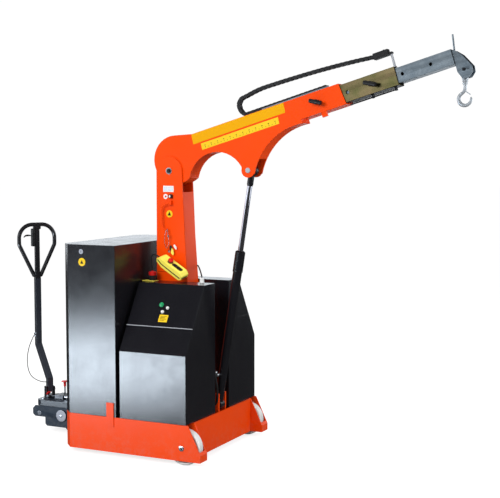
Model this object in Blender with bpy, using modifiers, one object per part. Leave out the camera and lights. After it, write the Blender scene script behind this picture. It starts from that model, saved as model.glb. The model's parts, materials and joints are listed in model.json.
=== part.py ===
# Compact counterbalanced floor crane: orange frame, mast and luffing telescopic boom,
# black sheet-metal covers, steered rear drive unit with a tiller, pendant control.
# Metres, +Z up. Inside the "hoist" empty +X runs along the boom and x = 0 is at the
# middle of the base panels; the empty moves the origin to the middle of the footprint.

import bpy
import bmesh
from math import atan2, cos, pi, radians, sin, sqrt
from mathutils import Matrix, Vector

# Driving dimensions
gap = 0.0003                 # kept between pieces that touch
originX = 0.3336             # middle of the whole length, in the hoist's own frame
halfWidth = 0.4355           # half the overall width of base and covers
frameBottom = 0.029
frameTop = 0.228
frameRear = -0.476
frameFront = 0.421
panelFront = 0.345           # face of the front cross panel
cornerCut = 0.055            # chamfer of the two rear corners
panelThickness = 0.008
floorTop = 0.039
wheelRadius = 0.100
wheelX = 0.307
wheelY = 0.390
towerFront = -0.110          # front face of the tall rear cover
towerTop = 1.192
sheet = 0.003
sideCoverRear = -0.085
sideCoverFront = 0.334
lidSeam = 0.744
coverShoulder = (0.4355, 0.608)
coverCrest = (0.217, 0.971)
channelHalf = 0.085          # the covers leave this central channel free
cheekOuter = 0.066
cheekInner = 0.058
mastPivot = Vector((0.028, 0.0, 1.601))
boomAngle = radians(16.4)
boomHalf = 0.056
footPivot = Vector((0.310, 0.0, 0.260))
lobePivot = Vector((0.478, 0.0, -0.135))     # in the boom's frame
barrelRadius = 0.026
rodRadius = 0.0155
barrelEnd = 0.898            # gland face, measured from the foot pivot
boomAxis = 0.101             # height of the telescopic axis above the pivot line
plateTop = 0.197             # rear mounting plate
platePlan = 0.100
steerX = -0.708
driveRadius = 0.070
tillerX = -0.868
tillerTurn = radians(-35.0)
tillerPinZ = 0.245
tillerSet = 0.200            # how far the upper tube stands behind the pivot
loopTop = 1.2575
loopWide = 0.1155
loopLow = 0.930
loopTube = 0.0125


def clearScene():
    for item in list(bpy.data.objects):
        bpy.data.objects.remove(item, do_unlink=True)


def makeCollection(name):
    collection = bpy.data.collections.new(name)
    bpy.context.scene.collection.children.link(collection)
    return collection


def makeEmpty(name, location, turn=(0.0, 0.0, 0.0), parent=None):
    empty = bpy.data.objects.new(name, None)
    empty.location = location
    empty.rotation_euler = turn
    empty.parent = parent
    parts.objects.link(empty)
    return empty


def makeMaterial(name, look):
    colour, roughness, metallic = look
    material = bpy.data.materials.new(name)
    material.use_nodes = True
    shader = material.node_tree.nodes["Principled BSDF"]
    shader.inputs["Base Color"].default_value = (*colour, 1.0)
    shader.inputs["Roughness"].default_value = roughness
    shader.inputs["Metallic"].default_value = metallic
    return material


orangePaint = ((0.80, 0.13, 0.02), 0.35, 0.0)
blackPaint = ((0.012, 0.012, 0.014), 0.40, 0.0)
greyPaint = ((0.36, 0.38, 0.42), 0.45, 0.0)
slatePaint = ((0.06, 0.075, 0.10), 0.45, 0.0)
bareSteel = ((0.55, 0.56, 0.58), 0.30, 1.0)
darkSteel = ((0.05, 0.05, 0.055), 0.40, 1.0)
zincPlate = ((0.62, 0.65, 0.68), 0.32, 1.0)
oliveZinc = ((0.36, 0.33, 0.16), 0.28, 1.0)
chromeRod = ((0.80, 0.80, 0.82), 0.08, 1.0)
castIron = ((0.10, 0.10, 0.10), 0.70, 0.3)
blackPlastic = ((0.015, 0.015, 0.016), 0.50, 0.0)
yellowPlastic = ((0.85, 0.62, 0.02), 0.40, 0.0)
redPlastic = ((0.70, 0.02, 0.02), 0.35, 0.0)
whiteNylon = ((0.80, 0.80, 0.78), 0.45, 0.0)


def meshFrom(work):
    mesh = bpy.data.meshes.new("shape")
    bmesh.ops.recalc_face_normals(work, faces=work.faces)
    work.to_mesh(mesh)
    work.free()
    return mesh


def boxMesh(low, high):
    low = Vector(low)
    high = Vector(high)
    size = high - low
    matrix = Matrix.Translation((low + high) / 2) @ Matrix.Diagonal((*size, 1.0))
    work = bmesh.new()
    bmesh.ops.create_cube(work, size=1.0, matrix=matrix)
    return meshFrom(work)


def rodMesh(start, end, radius, segments=24):
    start = Vector(start)
    end = Vector(end)
    line = end - start
    turn = line.to_track_quat("Z", "Y").to_matrix().to_4x4()
    matrix = Matrix.Translation((start + end) / 2) @ turn
    work = bmesh.new()
    bmesh.ops.create_cone(work, cap_ends=True, segments=segments, radius1=radius,
                          radius2=radius, depth=line.length, matrix=matrix)
    return meshFrom(work)


# Which way an outline's own x, y and thickness run in the model
planFrame = Matrix.Identity(4)
sideFrame = Matrix(((1, 0, 0, 0), (0, 0, -1, 0), (0, 1, 0, 0), (0, 0, 0, 1)))
frontFrame = Matrix(((0, 0, 1, 0), (1, 0, 0, 0), (0, 1, 0, 0), (0, 0, 0, 1)))


def curveToMesh(curve):
    holder = bpy.data.objects.new("outline", curve)
    bpy.context.scene.collection.objects.link(holder)
    graph = bpy.context.evaluated_depsgraph_get()
    mesh = bpy.data.meshes.new_from_object(holder.evaluated_get(graph))
    bpy.data.objects.remove(holder, do_unlink=True)
    work = bmesh.new()
    work.from_mesh(mesh)
    bmesh.ops.remove_doubles(work, verts=work.verts, dist=0.00001)
    return meshFrom(work)


def prismMesh(outline, low, high, frame=planFrame):
    """An outline given thickness: low to high is measured along the frame's own normal."""
    curve = bpy.data.curves.new("outline", "CURVE")
    curve.dimensions = "2D"
    curve.fill_mode = "BOTH"
    curve.extrude = (high - low) / 2
    spline = curve.splines.new("POLY")
    spline.points.add(len(outline) - 1)
    for point, place in zip(spline.points, outline):
        point.co = (place[0], place[1], 0.0, 1.0)
    spline.use_cyclic_u = True
    mesh = curveToMesh(curve)
    mesh.transform(frame @ Matrix.Translation((0.0, 0.0, (low + high) / 2)))
    return mesh


def sidePrism(outline, nearY, farY):
    """An outline in x and z, thick from nearY to farY."""
    return prismMesh(outline, -farY, -nearY, sideFrame)


def arcPoints(centre, radius, startAngle, endAngle, steps):
    points = []
    for step in range(steps + 1):
        angle = radians(startAngle + (endAngle - startAngle) * step / steps)
        points.append((centre[0] + radius * cos(angle), centre[1] + radius * sin(angle)))
    return points


def tubeMesh(points, radius, closed=False, resolution=3):
    curve = bpy.data.curves.new("tube", "CURVE")
    curve.dimensions = "3D"
    curve.bevel_depth = radius
    curve.bevel_resolution = resolution
    curve.use_fill_caps = True
    spline = curve.splines.new("POLY")
    spline.points.add(len(points) - 1)
    for point, place in zip(spline.points, points):
        point.co = (*place, 1.0)
    spline.use_cyclic_u = closed
    return curveToMesh(curve)


def smoothRoute(points, steps):
    """Catmull-Rom curve through the route's own points."""
    places = [Vector(point) for point in points]
    places = [2 * places[0] - places[1]] + places + [2 * places[-1] - places[-2]]
    route = []
    for index in range(1, len(places) - 2):
        before, start, end, after = places[index - 1:index + 3]
        for step in range(steps):
            t = step / steps
            route.append(0.5 * (2 * start + (end - before) * t
                                + (2 * before - 5 * start + 4 * end - after) * t ** 2
                                + (3 * start - before - 3 * end + after) * t ** 3))
    route.append(places[-2])
    return route


def addPart(name, mesh, look, parent):
    part = bpy.data.objects.new(name, mesh)
    mesh.name = name
    mesh.materials.append(makeMaterial(name, look))
    part.parent = parent
    parts.objects.link(part)
    return part


def shape(part, mesh, operation="DIFFERENCE"):
    """Cuts the mesh out of the part, or joins it on; the mesh sits in the part's frame."""
    tool = bpy.data.objects.new(part.name + "_tool", mesh)
    tool.parent = part.parent
    tool.hide_render = True
    tool.display_type = "WIRE"
    cutters.objects.link(tool)
    boolean = part.modifiers.new(operation.lower(), "BOOLEAN")
    boolean.operation = operation
    boolean.solver = "EXACT"
    boolean.object = tool


def join(part, mesh):
    shape(part, mesh, "UNION")


def turned(name, profile, look, parent, place, axis, segments=32):
    """A profile of radius and height, turned about the axis through place. Open profiles
    run top to bottom down the outer side and start and end on the axis."""
    ring = profile[0] == profile[-1]
    count = len(profile) - 1 if ring else len(profile)
    mesh = bpy.data.meshes.new(name)
    verts = [(profile[index][0], 0.0, profile[index][1]) for index in range(count)]
    edges = [(index, (index + 1) % count) for index in range(count if ring else count - 1)]
    mesh.from_pydata(verts, edges, [])
    part = addPart(name, mesh, look, parent)
    part.location = place
    part.rotation_euler = Vector(axis).to_track_quat("Z", "Y").to_euler()
    screw = part.modifiers.new("turn", "SCREW")
    screw.axis = "Z"
    screw.steps = segments
    screw.render_steps = segments
    screw.use_merge_vertices = True
    screw.merge_threshold = 0.00001
    return part


def diskProfile(radius, bottom, top):
    return [(0.0, top), (radius, top), (radius, bottom), (0.0, bottom)]


def ringProfile(inner, outer, bottom, top):
    return [(outer, top), (outer, bottom), (inner, bottom), (inner, top), (outer, top)]


def addBaseFrame(hoist):
    rear = frameRear
    corner = rear + cornerCut
    outer = [(rear, -halfWidth + cornerCut), (corner, -halfWidth), (frameFront, -halfWidth),
             (frameFront, halfWidth), (corner, halfWidth), (rear, halfWidth - cornerCut)]
    frame = addPart("base_frame", prismMesh(outer, frameBottom, frameTop), orangePaint, hoist)
    wall = panelThickness
    inset = halfWidth - wall
    chamfer = cornerCut + wall * 0.414
    boxRear = wheelX - 0.120                   # the wheel boxes start here
    boxInner = wheelY - 0.038                  # and reach in to here
    inner = [(rear + wall, -halfWidth + chamfer), (rear + chamfer, -inset),
             (boxRear, -inset), (boxRear, -boxInner), (panelFront - wall, -boxInner),
             (panelFront - wall, boxInner), (boxRear, boxInner), (boxRear, inset),
             (rear + chamfer, inset), (rear + wall, halfWidth - chamfer)]
    shape(frame, prismMesh(inner, floorTop, 0.30))
    slant = [(panelFront, 0.40), (panelFront, frameTop), (frameFront, 0.069), (0.55, 0.069),
             (0.55, 0.40)]
    shape(frame, sidePrism(slant, -0.60, 0.60))
    shape(frame, boxMesh((panelFront, -boxInner, 0.0), (0.55, boxInner, 0.30)))
    for side in (-1, 1):
        ys = sorted((side * (boxInner + wall), side * inset))
        shape(frame, boxMesh((boxRear + wall, ys[0], 0.0), (frameFront - wall, ys[1], 0.30)))
        shape(frame, rodMesh((wheelX, side * 0.33, wheelRadius),
                             (wheelX, side * 0.50, wheelRadius), 0.0123))
        strap = [(side * (halfWidth - 0.002), 0.175), (side * (halfWidth - 0.002), frameTop - 0.002),
                 (side * (halfWidth + gap), frameTop - 0.002), (side * (halfWidth + gap), 0.310),
                 (side * (halfWidth + 0.006), 0.310), (side * (halfWidth + 0.006), 0.175)]
        join(frame, prismMesh(strap, -0.170, -0.123, frontFrame))


def addMast(hoist):
    outer = [(-0.056, floorTop + gap), (0.197, floorTop + gap), (0.147, 0.95), (0.127, 1.24),
             (0.117, 1.48), (0.111, mastPivot.z)]
    outer += arcPoints((mastPivot.x, mastPivot.z), 0.083, 0, 180, 14)[1:-1]
    outer += [(-0.055, mastPivot.z)]
    mast = addPart("mast_column", sidePrism(outer, -cheekOuter, cheekOuter), orangePaint, hoist)
    inner = [(-0.047, 0.0), (0.189, 0.0), (0.139, 0.95), (0.119, 1.24), (0.109, 1.48),
             (0.30, 1.48), (0.30, 1.90), (-0.30, 1.90), (-0.30, 1.50), (-0.046, 1.50)]
    shape(mast, sidePrism(inner, -cheekInner, cheekInner))
    pivotHole = rodMesh(mastPivot - Vector((0, 0.1, 0)), mastPivot + Vector((0, 0.1, 0)), 0.0163)
    shape(mast, pivotHole)
    profile = [(0, 0.0735), (0.0125, 0.0735), (0.0125, 0.0665), (0.016, 0.0665), (0.016, -0.0665),
               (0.0125, -0.0665), (0.0125, -0.0735), (0, -0.0735)]
    turned("mast_pivot_pin", profile, darkSteel, hoist, mastPivot, (0, -1, 0))


def addTowerCover(hoist):
    rear = frameRear
    cut = cornerCut
    outer = [(rear, -halfWidth + cut), (rear + cut, -halfWidth), (towerFront, -halfWidth),
             (towerFront, halfWidth), (rear + cut, halfWidth), (rear, halfWidth - cut)]
    cover = addPart("rear_cover", prismMesh(outer, frameTop + gap, towerTop), blackPaint, hoist)
    inset = halfWidth - sheet
    cut = cornerCut + sheet * 0.414
    inner = [(rear + sheet, -halfWidth + cut), (rear + cut, -inset), (towerFront - sheet, -inset),
             (towerFront - sheet, inset), (rear + cut, inset), (rear + sheet, halfWidth - cut)]
    shape(cover, prismMesh(inner, 0.10, towerTop - sheet))
    slabHeight = 0.112
    for index in range(2):
        bottom = floorTop + gap + index * (slabHeight + gap)
        addPart("counterweight_%d" % (index + 1),
                boxMesh((-0.450, -0.395, bottom), (-0.125, 0.395, bottom + slabHeight)),
                castIron, hoist)
    top = floorTop + 2 * gap + 2 * (slabHeight + gap)
    addPart("battery_pack", boxMesh((-0.440, -0.260, top), (-0.140, 0.260, top + 0.235)),
            blackPlastic, hoist)


def slantAt(height):
    """How far out the slanted cover wall stands at a height."""
    share = (height - coverShoulder[1]) / (coverCrest[1] - coverShoulder[1])
    return coverShoulder[0] + share * (coverCrest[0] - coverShoulder[0])


def addSideCovers(hoist):
    """Two sheet covers, each a four-sided lower skirt and a lift-off lid with a slanted face."""
    seamOut = slantAt(lidSeam)
    skirt = [(channelHalf, frameTop + gap), (coverShoulder[0], frameTop + gap), coverShoulder,
             (seamOut, lidSeam), (channelHalf, lidSeam)]
    skirtIn = [(channelHalf + sheet, 0.10), (halfWidth - sheet, 0.10),
               (halfWidth - sheet, coverShoulder[1] - 0.001),
               (slantAt(0.80) - sheet * 1.17, 0.80), (channelHalf + sheet, 0.80)]
    lidLow = lidSeam + gap
    lid = [(channelHalf, lidLow), (slantAt(lidLow), lidLow), coverCrest,
           (channelHalf, coverCrest[1])]
    lidTop = coverCrest[1] - sheet
    lidIn = [(channelHalf + sheet, 0.70), (slantAt(0.70) - sheet * 1.17, 0.70),
             (slantAt(lidTop) - sheet * 1.17, lidTop), (channelHalf + sheet, lidTop)]
    for side, name in ((-1, "near"), (1, "far")):
        outlines = []
        for outline in (skirt, skirtIn, lid, lidIn):
            outlines.append([(side * point[0], point[1]) for point in outline])
        inside = (sideCoverRear + sheet, sideCoverFront - sheet)
        cover = addPart(name + "_cover", prismMesh(outlines[0], sideCoverRear, sideCoverFront,
                                                   frontFrame), blackPaint, hoist)
        shape(cover, prismMesh(outlines[1], *inside, frontFrame))
        top = addPart(name + "_cover_lid", prismMesh(outlines[2], sideCoverRear, sideCoverFront,
                                                     frontFrame), blackPaint, hoist)
        shape(top, prismMesh(outlines[3], *inside, frontFrame))
    tank = boxMesh((-0.050, -0.390, floorTop + gap), (0.170, -0.150, 0.280))
    unit = addPart("hydraulic_unit", tank, darkSteel, hoist)
    join(unit, rodMesh((0.060, -0.270, 0.270), (0.060, -0.270, 0.500), 0.060))
    addPart("charger_box", boxMesh((-0.030, 0.150, floorTop + gap), (0.170, 0.390, 0.300)),
            blackPlastic, hoist)


def addPanelControls(hoist):
    """Two selector switches on the near lid's slanted face."""
    slope = (coverCrest[1] - coverShoulder[1], coverShoulder[0] - coverCrest[0])
    length = sqrt(slope[0] ** 2 + slope[1] ** 2)
    normal = Vector((0.0, -slope[0] / length, slope[1] / length))
    spots = (("panel_switch_a", 0.146, 0.843, 0.0095, 0.012, bareSteel),
             ("panel_switch_b", 0.120, 0.822, 0.0095, 0.012, bareSteel))
    for name, x, z, radius, height, look in spots:
        place = Vector((x, -slantAt(z), z)) + normal * gap
        profile = [(0, height), (radius * 0.8, height), (radius, height * 0.6), (radius, 0), (0, 0)]
        turned(name, profile, look, hoist, place, normal, 20)


def addMastFittings(hoist):
    face = -cheekOuter - gap
    rod = smoothRoute([(0.042, face - 0.0175, 1.425), (0.020, face - 0.020, 1.412),
                       (-0.006, face - 0.020, 1.396), (-0.012, face - 0.020, 1.365),
                       (-0.010, face - 0.020, 1.320), (-0.006, face - 0.019, 1.280),
                       (0.010, face - 0.018, 1.264), (0.026, face - 0.022, 1.272)], 4)
    hanger = addPart("pendant_hanger", tubeMesh(rod, 0.004, resolution=2), orangePaint, hoist)
    join(hanger, boxMesh((0.0335, face - 0.0200, 1.4080), (0.0505, face, 1.4320)))
    nipple = [(0, 0.056), (0.009, 0.056), (0.009, 0.053), (0.0225, 0.053), (0.0225, 0.030),
              (0.019, 0.028), (0.019, 0), (0, 0)]
    turned("pendant_socket", nipple, redPlastic, hoist, (-0.050, -0.125, coverCrest[1] + gap),
           (0, 0, 1), 20)


def addFootBracket(hoist):
    base = floorTop + gap
    ear = [(0.212, base), (0.336, base), (0.336, 0.330), (0.312, 0.330), (0.255, 0.270),
           (0.212, 0.160)]
    bracket = addPart("cylinder_foot_bracket", sidePrism(ear, -0.046, 0.046), orangePaint, hoist)
    shape(bracket, boxMesh((0.100, -0.036, base + 0.010), (0.40, 0.036, 0.40)))


def addFrontWheels(hoist):
    for side, name in ((-1, "near"), (1, "far")):
        head = 0.0475 + gap
        axle = [(0, head + 0.005), (0.016, head + 0.005), (0.016, head - 0.0015),
                (0.0118, head - 0.0015), (0.0118, -0.037), (0, -0.037)]
        turned("front_axle_" + name, axle, bareSteel, hoist, (wheelX, side * wheelY, wheelRadius),
               (0, side, 0), 20)
        tread = wheelRadius
        wheel = [(tread - 0.004, 0.025), (tread, 0.021), (tread, -0.021), (tread - 0.004, -0.025),
                 (0.0122, -0.025), (0.0122, 0.025), (tread - 0.004, 0.025)]
        turned("front_wheel_" + name, wheel, whiteNylon, hoist,
               (wheelX, side * wheelY, wheelRadius), (0, side, 0), 48)


def addDriveUnit(hoist):
    front = frameRear - gap
    side = [(front, 0.1595), (-0.905, 0.1595), (-0.924, 0.140), (-0.924, 0.106), (-0.906, 0.092),
            (-0.833, 0.092), (-0.833, 0.052), (-0.820, 0.039), (front, 0.039)]
    housing = addPart("drive_housing", sidePrism(side, -platePlan, platePlan), slatePaint, hoist)
    shape(housing, boxMesh((-0.820, -0.094, 0.0), (front - 0.008, 0.094, 0.30)))
    shape(housing, boxMesh((-0.960, -0.094, 0.0), (-0.832, 0.094, 0.30)))
    shape(housing, rodMesh((-0.875, -0.2, 0.113), (-0.875, 0.2, 0.113), 0.012))
    plan = [(front, -platePlan), (front, platePlan)]
    plan += arcPoints((-0.865, platePlan - 0.040), 0.040, 90, 180, 6)
    plan += arcPoints((-0.865, -platePlan + 0.040), 0.040, 180, 270, 6)
    channel = addPart("rear_mount_plate", prismMesh(plan, 0.160, plateTop), greyPaint, hoist)
    shape(channel, boxMesh((-0.870, -0.092, 0.10), (front - 0.010, 0.092, plateTop - 0.008)))
    for y in (-1, 1):
        rim = Vector((steerX, y * (platePlan - 0.003), 0.113))
        join(housing, rodMesh(rim, rim + Vector((0, y * 0.012, 0)), 0.035, 28))
    knob = [(0, 0.302), (0.014, 0.301), (0.022, 0.295), (0.022, 0.290), (0.009, 0.282),
            (0.009, 0.2640), (0.0056, 0.2640), (0.0056, 0.2750), (0, 0.2750)]
    turned("brake_release_knob", knob, redPlastic, hoist, (-0.772, 0.025, 0), (0, 0, 1), 20)
    block = boxMesh((-0.800, -0.044, plateTop + gap), (-0.740, 0.036, 0.222))
    valve = addPart("lift_valve", block, darkSteel, hoist)
    join(valve, rodMesh((-0.830, -0.024, 0.2105), (-0.795, -0.024, 0.2105), 0.0115, 20))
    join(valve, rodMesh((-0.772, 0.025, 0.215), (-0.772, 0.025, 0.262), 0.005, 12))


def addSteering(hoist):
    pivot = makeEmpty("steer_pivot", (steerX, 0, 0), (0, 0, tillerTurn), hoist)
    fork = addPart("steer_fork", boxMesh((-0.030, -0.0415, 0.143), (0.030, 0.0415, 0.157)),
                   darkSteel, pivot)
    for side in (-1, 1):
        ys = sorted((side * 0.0335, side * 0.0415))
        join(fork, boxMesh((-0.020, ys[0], 0.045), (0.020, ys[1], 0.150)))
    tread = [(0, 0.0332), (0.012, 0.0332), (0.012, 0.028), (driveRadius - 0.004, 0.028),
             (driveRadius, 0.024), (driveRadius, -0.024), (driveRadius - 0.004, -0.028),
             (0.012, -0.028), (0.012, -0.0332), (0, -0.0332)]
    turned("drive_wheel", tread, blackPlastic, pivot, (0, 0, driveRadius), (0, -1, 0), 40)


def stripOutline(path, width):
    """Offsets a bent centre line to both sides, with mitred corners."""
    left = []
    right = []
    for index, point in enumerate(path):
        here = Vector(point)
        ahead = Vector(path[min(index + 1, len(path) - 1)]) - here
        behind = here - Vector(path[max(index - 1, 0)])
        ahead = ahead.normalized() if ahead.length else behind.normalized()
        behind = behind.normalized() if behind.length else ahead
        normal = Vector((-(ahead + behind).y, (ahead + behind).x)).normalized()
        reach = width / 2 / max(0.2, normal.dot(Vector((-ahead.y, ahead.x))))
        left.append(tuple(here + normal * reach))
        right.append(tuple(here - normal * reach))
    return left + right[::-1]


def loopPoints():
    """The grip: a straight top bar, round shoulders and two straight legs meeting low down."""
    half = []
    shoulder = (loopWide - 0.085, loopTop - 0.085)
    half += [(0.0, loopTop)]
    half += arcPoints(shoulder, 0.085, 90, 0, 8)
    half += [(loopWide, 1.145)]
    half += arcPoints((loopWide - 0.060, 1.145), 0.060, 0, -30, 4)[1:]
    half += arcPoints((0.0, loopLow + 0.030), 0.030, -30, -90, 4)
    points = [(-tillerSet, y, z) for y, z in half]
    points += [(-tillerSet, -y, z) for y, z in half[-2:0:-1]]
    return points


def addTiller(hoist):
    pivot = makeEmpty("tiller_pivot", (tillerX, 0, 0), (0, 0, tillerTurn), hoist)
    yoke = addPart("tiller_yoke", rodMesh((0, 0, plateTop + gap), (0, 0, 0.214), 0.034, 28),
                   darkSteel, pivot)
    for side in (-1, 1):
        ys = sorted((side * 0.0205, side * 0.0285))
        join(yoke, boxMesh((-0.020, ys[0], 0.205), (0.020, ys[1], 0.264)))
    join(yoke, rodMesh((0, -0.031, tillerPinZ), (0, 0.031, tillerPinZ), 0.007, 16))
    path = [(0, 0.2285), (0, 0.310), (-tillerSet, 0.500), (-tillerSet, 0.9165)]
    arm = addPart("tiller_arm", sidePrism(stripOutline(path, 0.035), -0.0175, 0.0175),
                  blackPaint, pivot)
    core = [(0, 0.15), (0, 0.310), (-tillerSet, 0.500), (-tillerSet, 1.00)]
    shape(arm, sidePrism(stripOutline(core, 0.029), -0.0145, 0.0145))
    shape(arm, rodMesh((0, -0.1, tillerPinZ), (0, 0.1, tillerPinZ), 0.0073, 16))
    loop = addPart("tiller_loop", tubeMesh(loopPoints(), loopTube, closed=True, resolution=4),
                   blackPlastic, pivot)
    back = -tillerSet
    join(loop, boxMesh((back - 0.0115, -0.015, 0.935), (back + 0.0115, 0.015, loopTop - 0.004)))
    head = boxMesh((back - 0.016, -0.0360, 1.120), (back + 0.016, -0.0153, 1.232))
    addPart("lever_housing", head, blackPlastic, pivot)
    lever = smoothRoute([(back, -0.0385, 1.188), (back, -0.055, 1.190), (back, -0.074, 1.188),
                         (back, -0.086, 1.178)], 3)
    addPart("hand_lever", tubeMesh(lever, 0.004, resolution=2), blackPlastic, pivot)
    route = [(back - 0.010, -0.0202, 0.560), (back - 0.014, -0.034, 0.535),
             (back - 0.012, -0.058, 0.480), (back + 0.010, -0.078, 0.415),
             (back + 0.055, -0.088, 0.355), (back + 0.105, -0.084, 0.318),
             (back + 0.150, -0.066, 0.300), (back + 0.184, -0.044, 0.292),
             (back + 0.200, -0.0204, 0.2905)]
    addPart("brake_cable", tubeMesh(smoothRoute(route, 4), 0.0025, resolution=2),
            blackPlastic, pivot)


def boomOutline():
    """Knuckle round the mast pivot, straight top, tube end, and two concave arches
    that leave the cylinder's lobe between them."""
    root = (0.053, 0.051)
    outline = arcPoints(root, 0.139, -64.4, -285, 22)
    outline += [(0.200, 0.160), (1.120, 0.160), (1.135, 0.042), (0.865, 0.042), (0.865, 0.0225)]
    outline += arcPoints((0.8225, -0.334), 0.356, 83.0, 151.5, 14)
    outline += arcPoints((lobePivot.x, lobePivot.z), 0.040, -46, -212, 8)
    outline += arcPoints((0.273, -0.155), 0.180, 16, 152, 14)
    return outline


def addBoom(boom):
    outer = addPart("boom_outer", sidePrism(boomOutline(), -boomHalf, boomHalf), orangePaint, boom)
    bore = boxMesh((0.420, -0.0505, boomAxis - 0.0525), (1.30, 0.0505, boomAxis + 0.0525))
    shape(outer, bore)
    lobe = [(0.400, -0.260), (0.400, -0.092), (0.4501, -0.092)]
    lobe += arcPoints((0.273, -0.155), 0.188, 20, 76, 8)
    lobe += arcPoints((0.8225, -0.334), 0.364, 102, 138, 8)
    lobe += [(0.5506, -0.092), (0.640, -0.092), (0.640, -0.260)]
    shape(outer, sidePrism(lobe, -0.046, 0.046))
    shape(outer, rodMesh((0, -0.1, 0), (0, 0.1, 0), 0.0163))
    shape(outer, rodMesh(lobePivot + Vector((0, -0.1, 0)), lobePivot + Vector((0, 0.1, 0)), 0.0153))
    profile = [(0, 0.060), (0.0125, 0.060), (0.015, 0.057), (0.015, -0.057), (0.0125, -0.060),
               (0, -0.060)]
    turned("cylinder_head_pin", profile, darkSteel, boom, lobePivot, (0, -1, 0), 24)
    top = 0.160 + gap
    tray = addPart("chain_tray", boxMesh((0.640, -0.024, top), (1.055, 0.024, 0.1720)),
                   bareSteel, boom)
    shape(tray, boxMesh((0.60, -0.0225, top + 0.0015), (1.10, 0.0225, 0.20)))
    lug = boxMesh((0.985, -0.0540, 0.014), (1.015, -0.0380, 0.046))
    join(outer, lug)
    addTeeScrew("boom_lock", boom, 0.982, boomAxis, -boomHalf - gap)


def addTeeScrew(name, parent, along, height, face):
    """A clamping screw with a short stem and a cross bar for the hand."""
    screw = addPart(name, rodMesh((along, face, height), (along, face - 0.034, height), 0.008, 14),
                    blackPlastic, parent)
    bar = rodMesh((along - 0.0321, face - 0.034, height + 0.0163),
                  (along + 0.0321, face - 0.034, height - 0.0163), 0.0120, 16)
    join(screw, bar)


def addTelescope(boom):
    reach = 0.050
    wall = 0.004
    middle = addPart("boom_middle", boxMesh((0.700, -0.048, boomAxis - reach),
                                            (1.4375, 0.048, boomAxis + reach)), oliveZinc, boom)
    inside = reach - wall
    shape(middle, boxMesh((0.60, -0.044, boomAxis - inside), (1.60, 0.044, boomAxis + inside)))
    shape(middle, rodMesh((1.156, -0.1, boomAxis), (1.156, 0.1, boomAxis), 0.009, 16))
    low = boomAxis - reach - gap
    rod = addPart("middle_guide_rod", rodMesh((1.145, -0.020, 0.0360), (1.417, -0.020, 0.0360),
                                              0.004, 10), bareSteel, boom)
    for along in (1.278, 1.411):
        join(rod, boxMesh((along - 0.006, -0.0280, 0.0300), (along + 0.006, -0.0120, low)))
    addTeeScrew("middle_lock", boom, 1.298, boomAxis, -0.048 - gap)
    inner = addPart("boom_inner", boxMesh((1.000, -0.040, boomAxis - 0.040),
                                          (1.7460, 0.040, boomAxis + 0.040)), zincPlate, boom)
    shape(inner, boxMesh((0.90, -0.036, boomAxis - 0.036), (1.90, 0.036, boomAxis + 0.036)))
    for along in (1.469, 1.626):
        shape(inner, rodMesh((along, -0.1, boomAxis), (along, 0.1, boomAxis), 0.009, 16))


def addTip(boom):
    """End flange with two cheeks that carry the hook pin, and a thin rod standing on it."""
    cheeks = [(1.7463, 0.132), (1.7600, 0.132), (1.7900, 0.100), (1.8270, 0.030), (1.8240, 0.000),
              (1.8000, -0.022), (1.7640, -0.022), (1.7463, 0.020)]
    tip = addPart("tip_bracket", sidePrism(cheeks, -0.030, 0.030), zincPlate, boom)
    shape(tip, boxMesh((1.7545, -0.022, -0.10), (1.90, 0.022, 0.20)))
    shape(tip, boxMesh((1.70, -0.022, -0.10), (1.80, 0.022, 0.052)))
    join(tip, rodMesh((1.7822, -0.036, 0.0238), (1.7822, 0.036, 0.0238), 0.008, 16))
    upright = Matrix.Rotation(boomAngle, 3, "Y")
    foot = Vector((1.7520, 0.0, 0.125))
    join(tip, rodMesh(foot, foot + upright @ Vector((-0.012, 0, 0.092)), 0.0050, 12))


def addHook(boom):
    """Swivel shackle on the tip pin, with the hook hanging plumb below it."""
    place = Vector((1.7822, 0.0, 0.0238))
    hang = makeEmpty("hook_hang", place, (0, boomAngle, 0), boom)
    shackle = addPart("hook_shackle", rodMesh((0, -0.0205, 0), (0, 0.0205, 0), 0.017, 20),
                      bareSteel, hang)
    join(shackle, boxMesh((-0.014, -0.014, -0.052), (0.014, 0.014, -0.008)))
    shape(shackle, rodMesh((0, -0.1, 0), (0, 0.1, 0), 0.0083, 16))
    centre = (0.0, -0.1500)
    bend = 0.0325
    arc = arcPoints(centre, bend, 118, 378, 20)
    path = [(0.0, -0.0600), (0.0, -0.098), (-0.006, -0.112)] + arc
    hook = addPart("load_hook", tubeMesh([(x, 0, z) for x, z in path], 0.0095, resolution=4),
                   bareSteel, hang)
    join(hook, rodMesh((0, 0, -0.0523), (0, 0, -0.074), 0.0155, 20))
    latch = stripOutline([(0.006, -0.112), (0.0285, -0.1275)], 0.0045)
    addPart("hook_latch", sidePrism(latch, -0.0065, 0.0065), zincPlate, hang)


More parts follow.
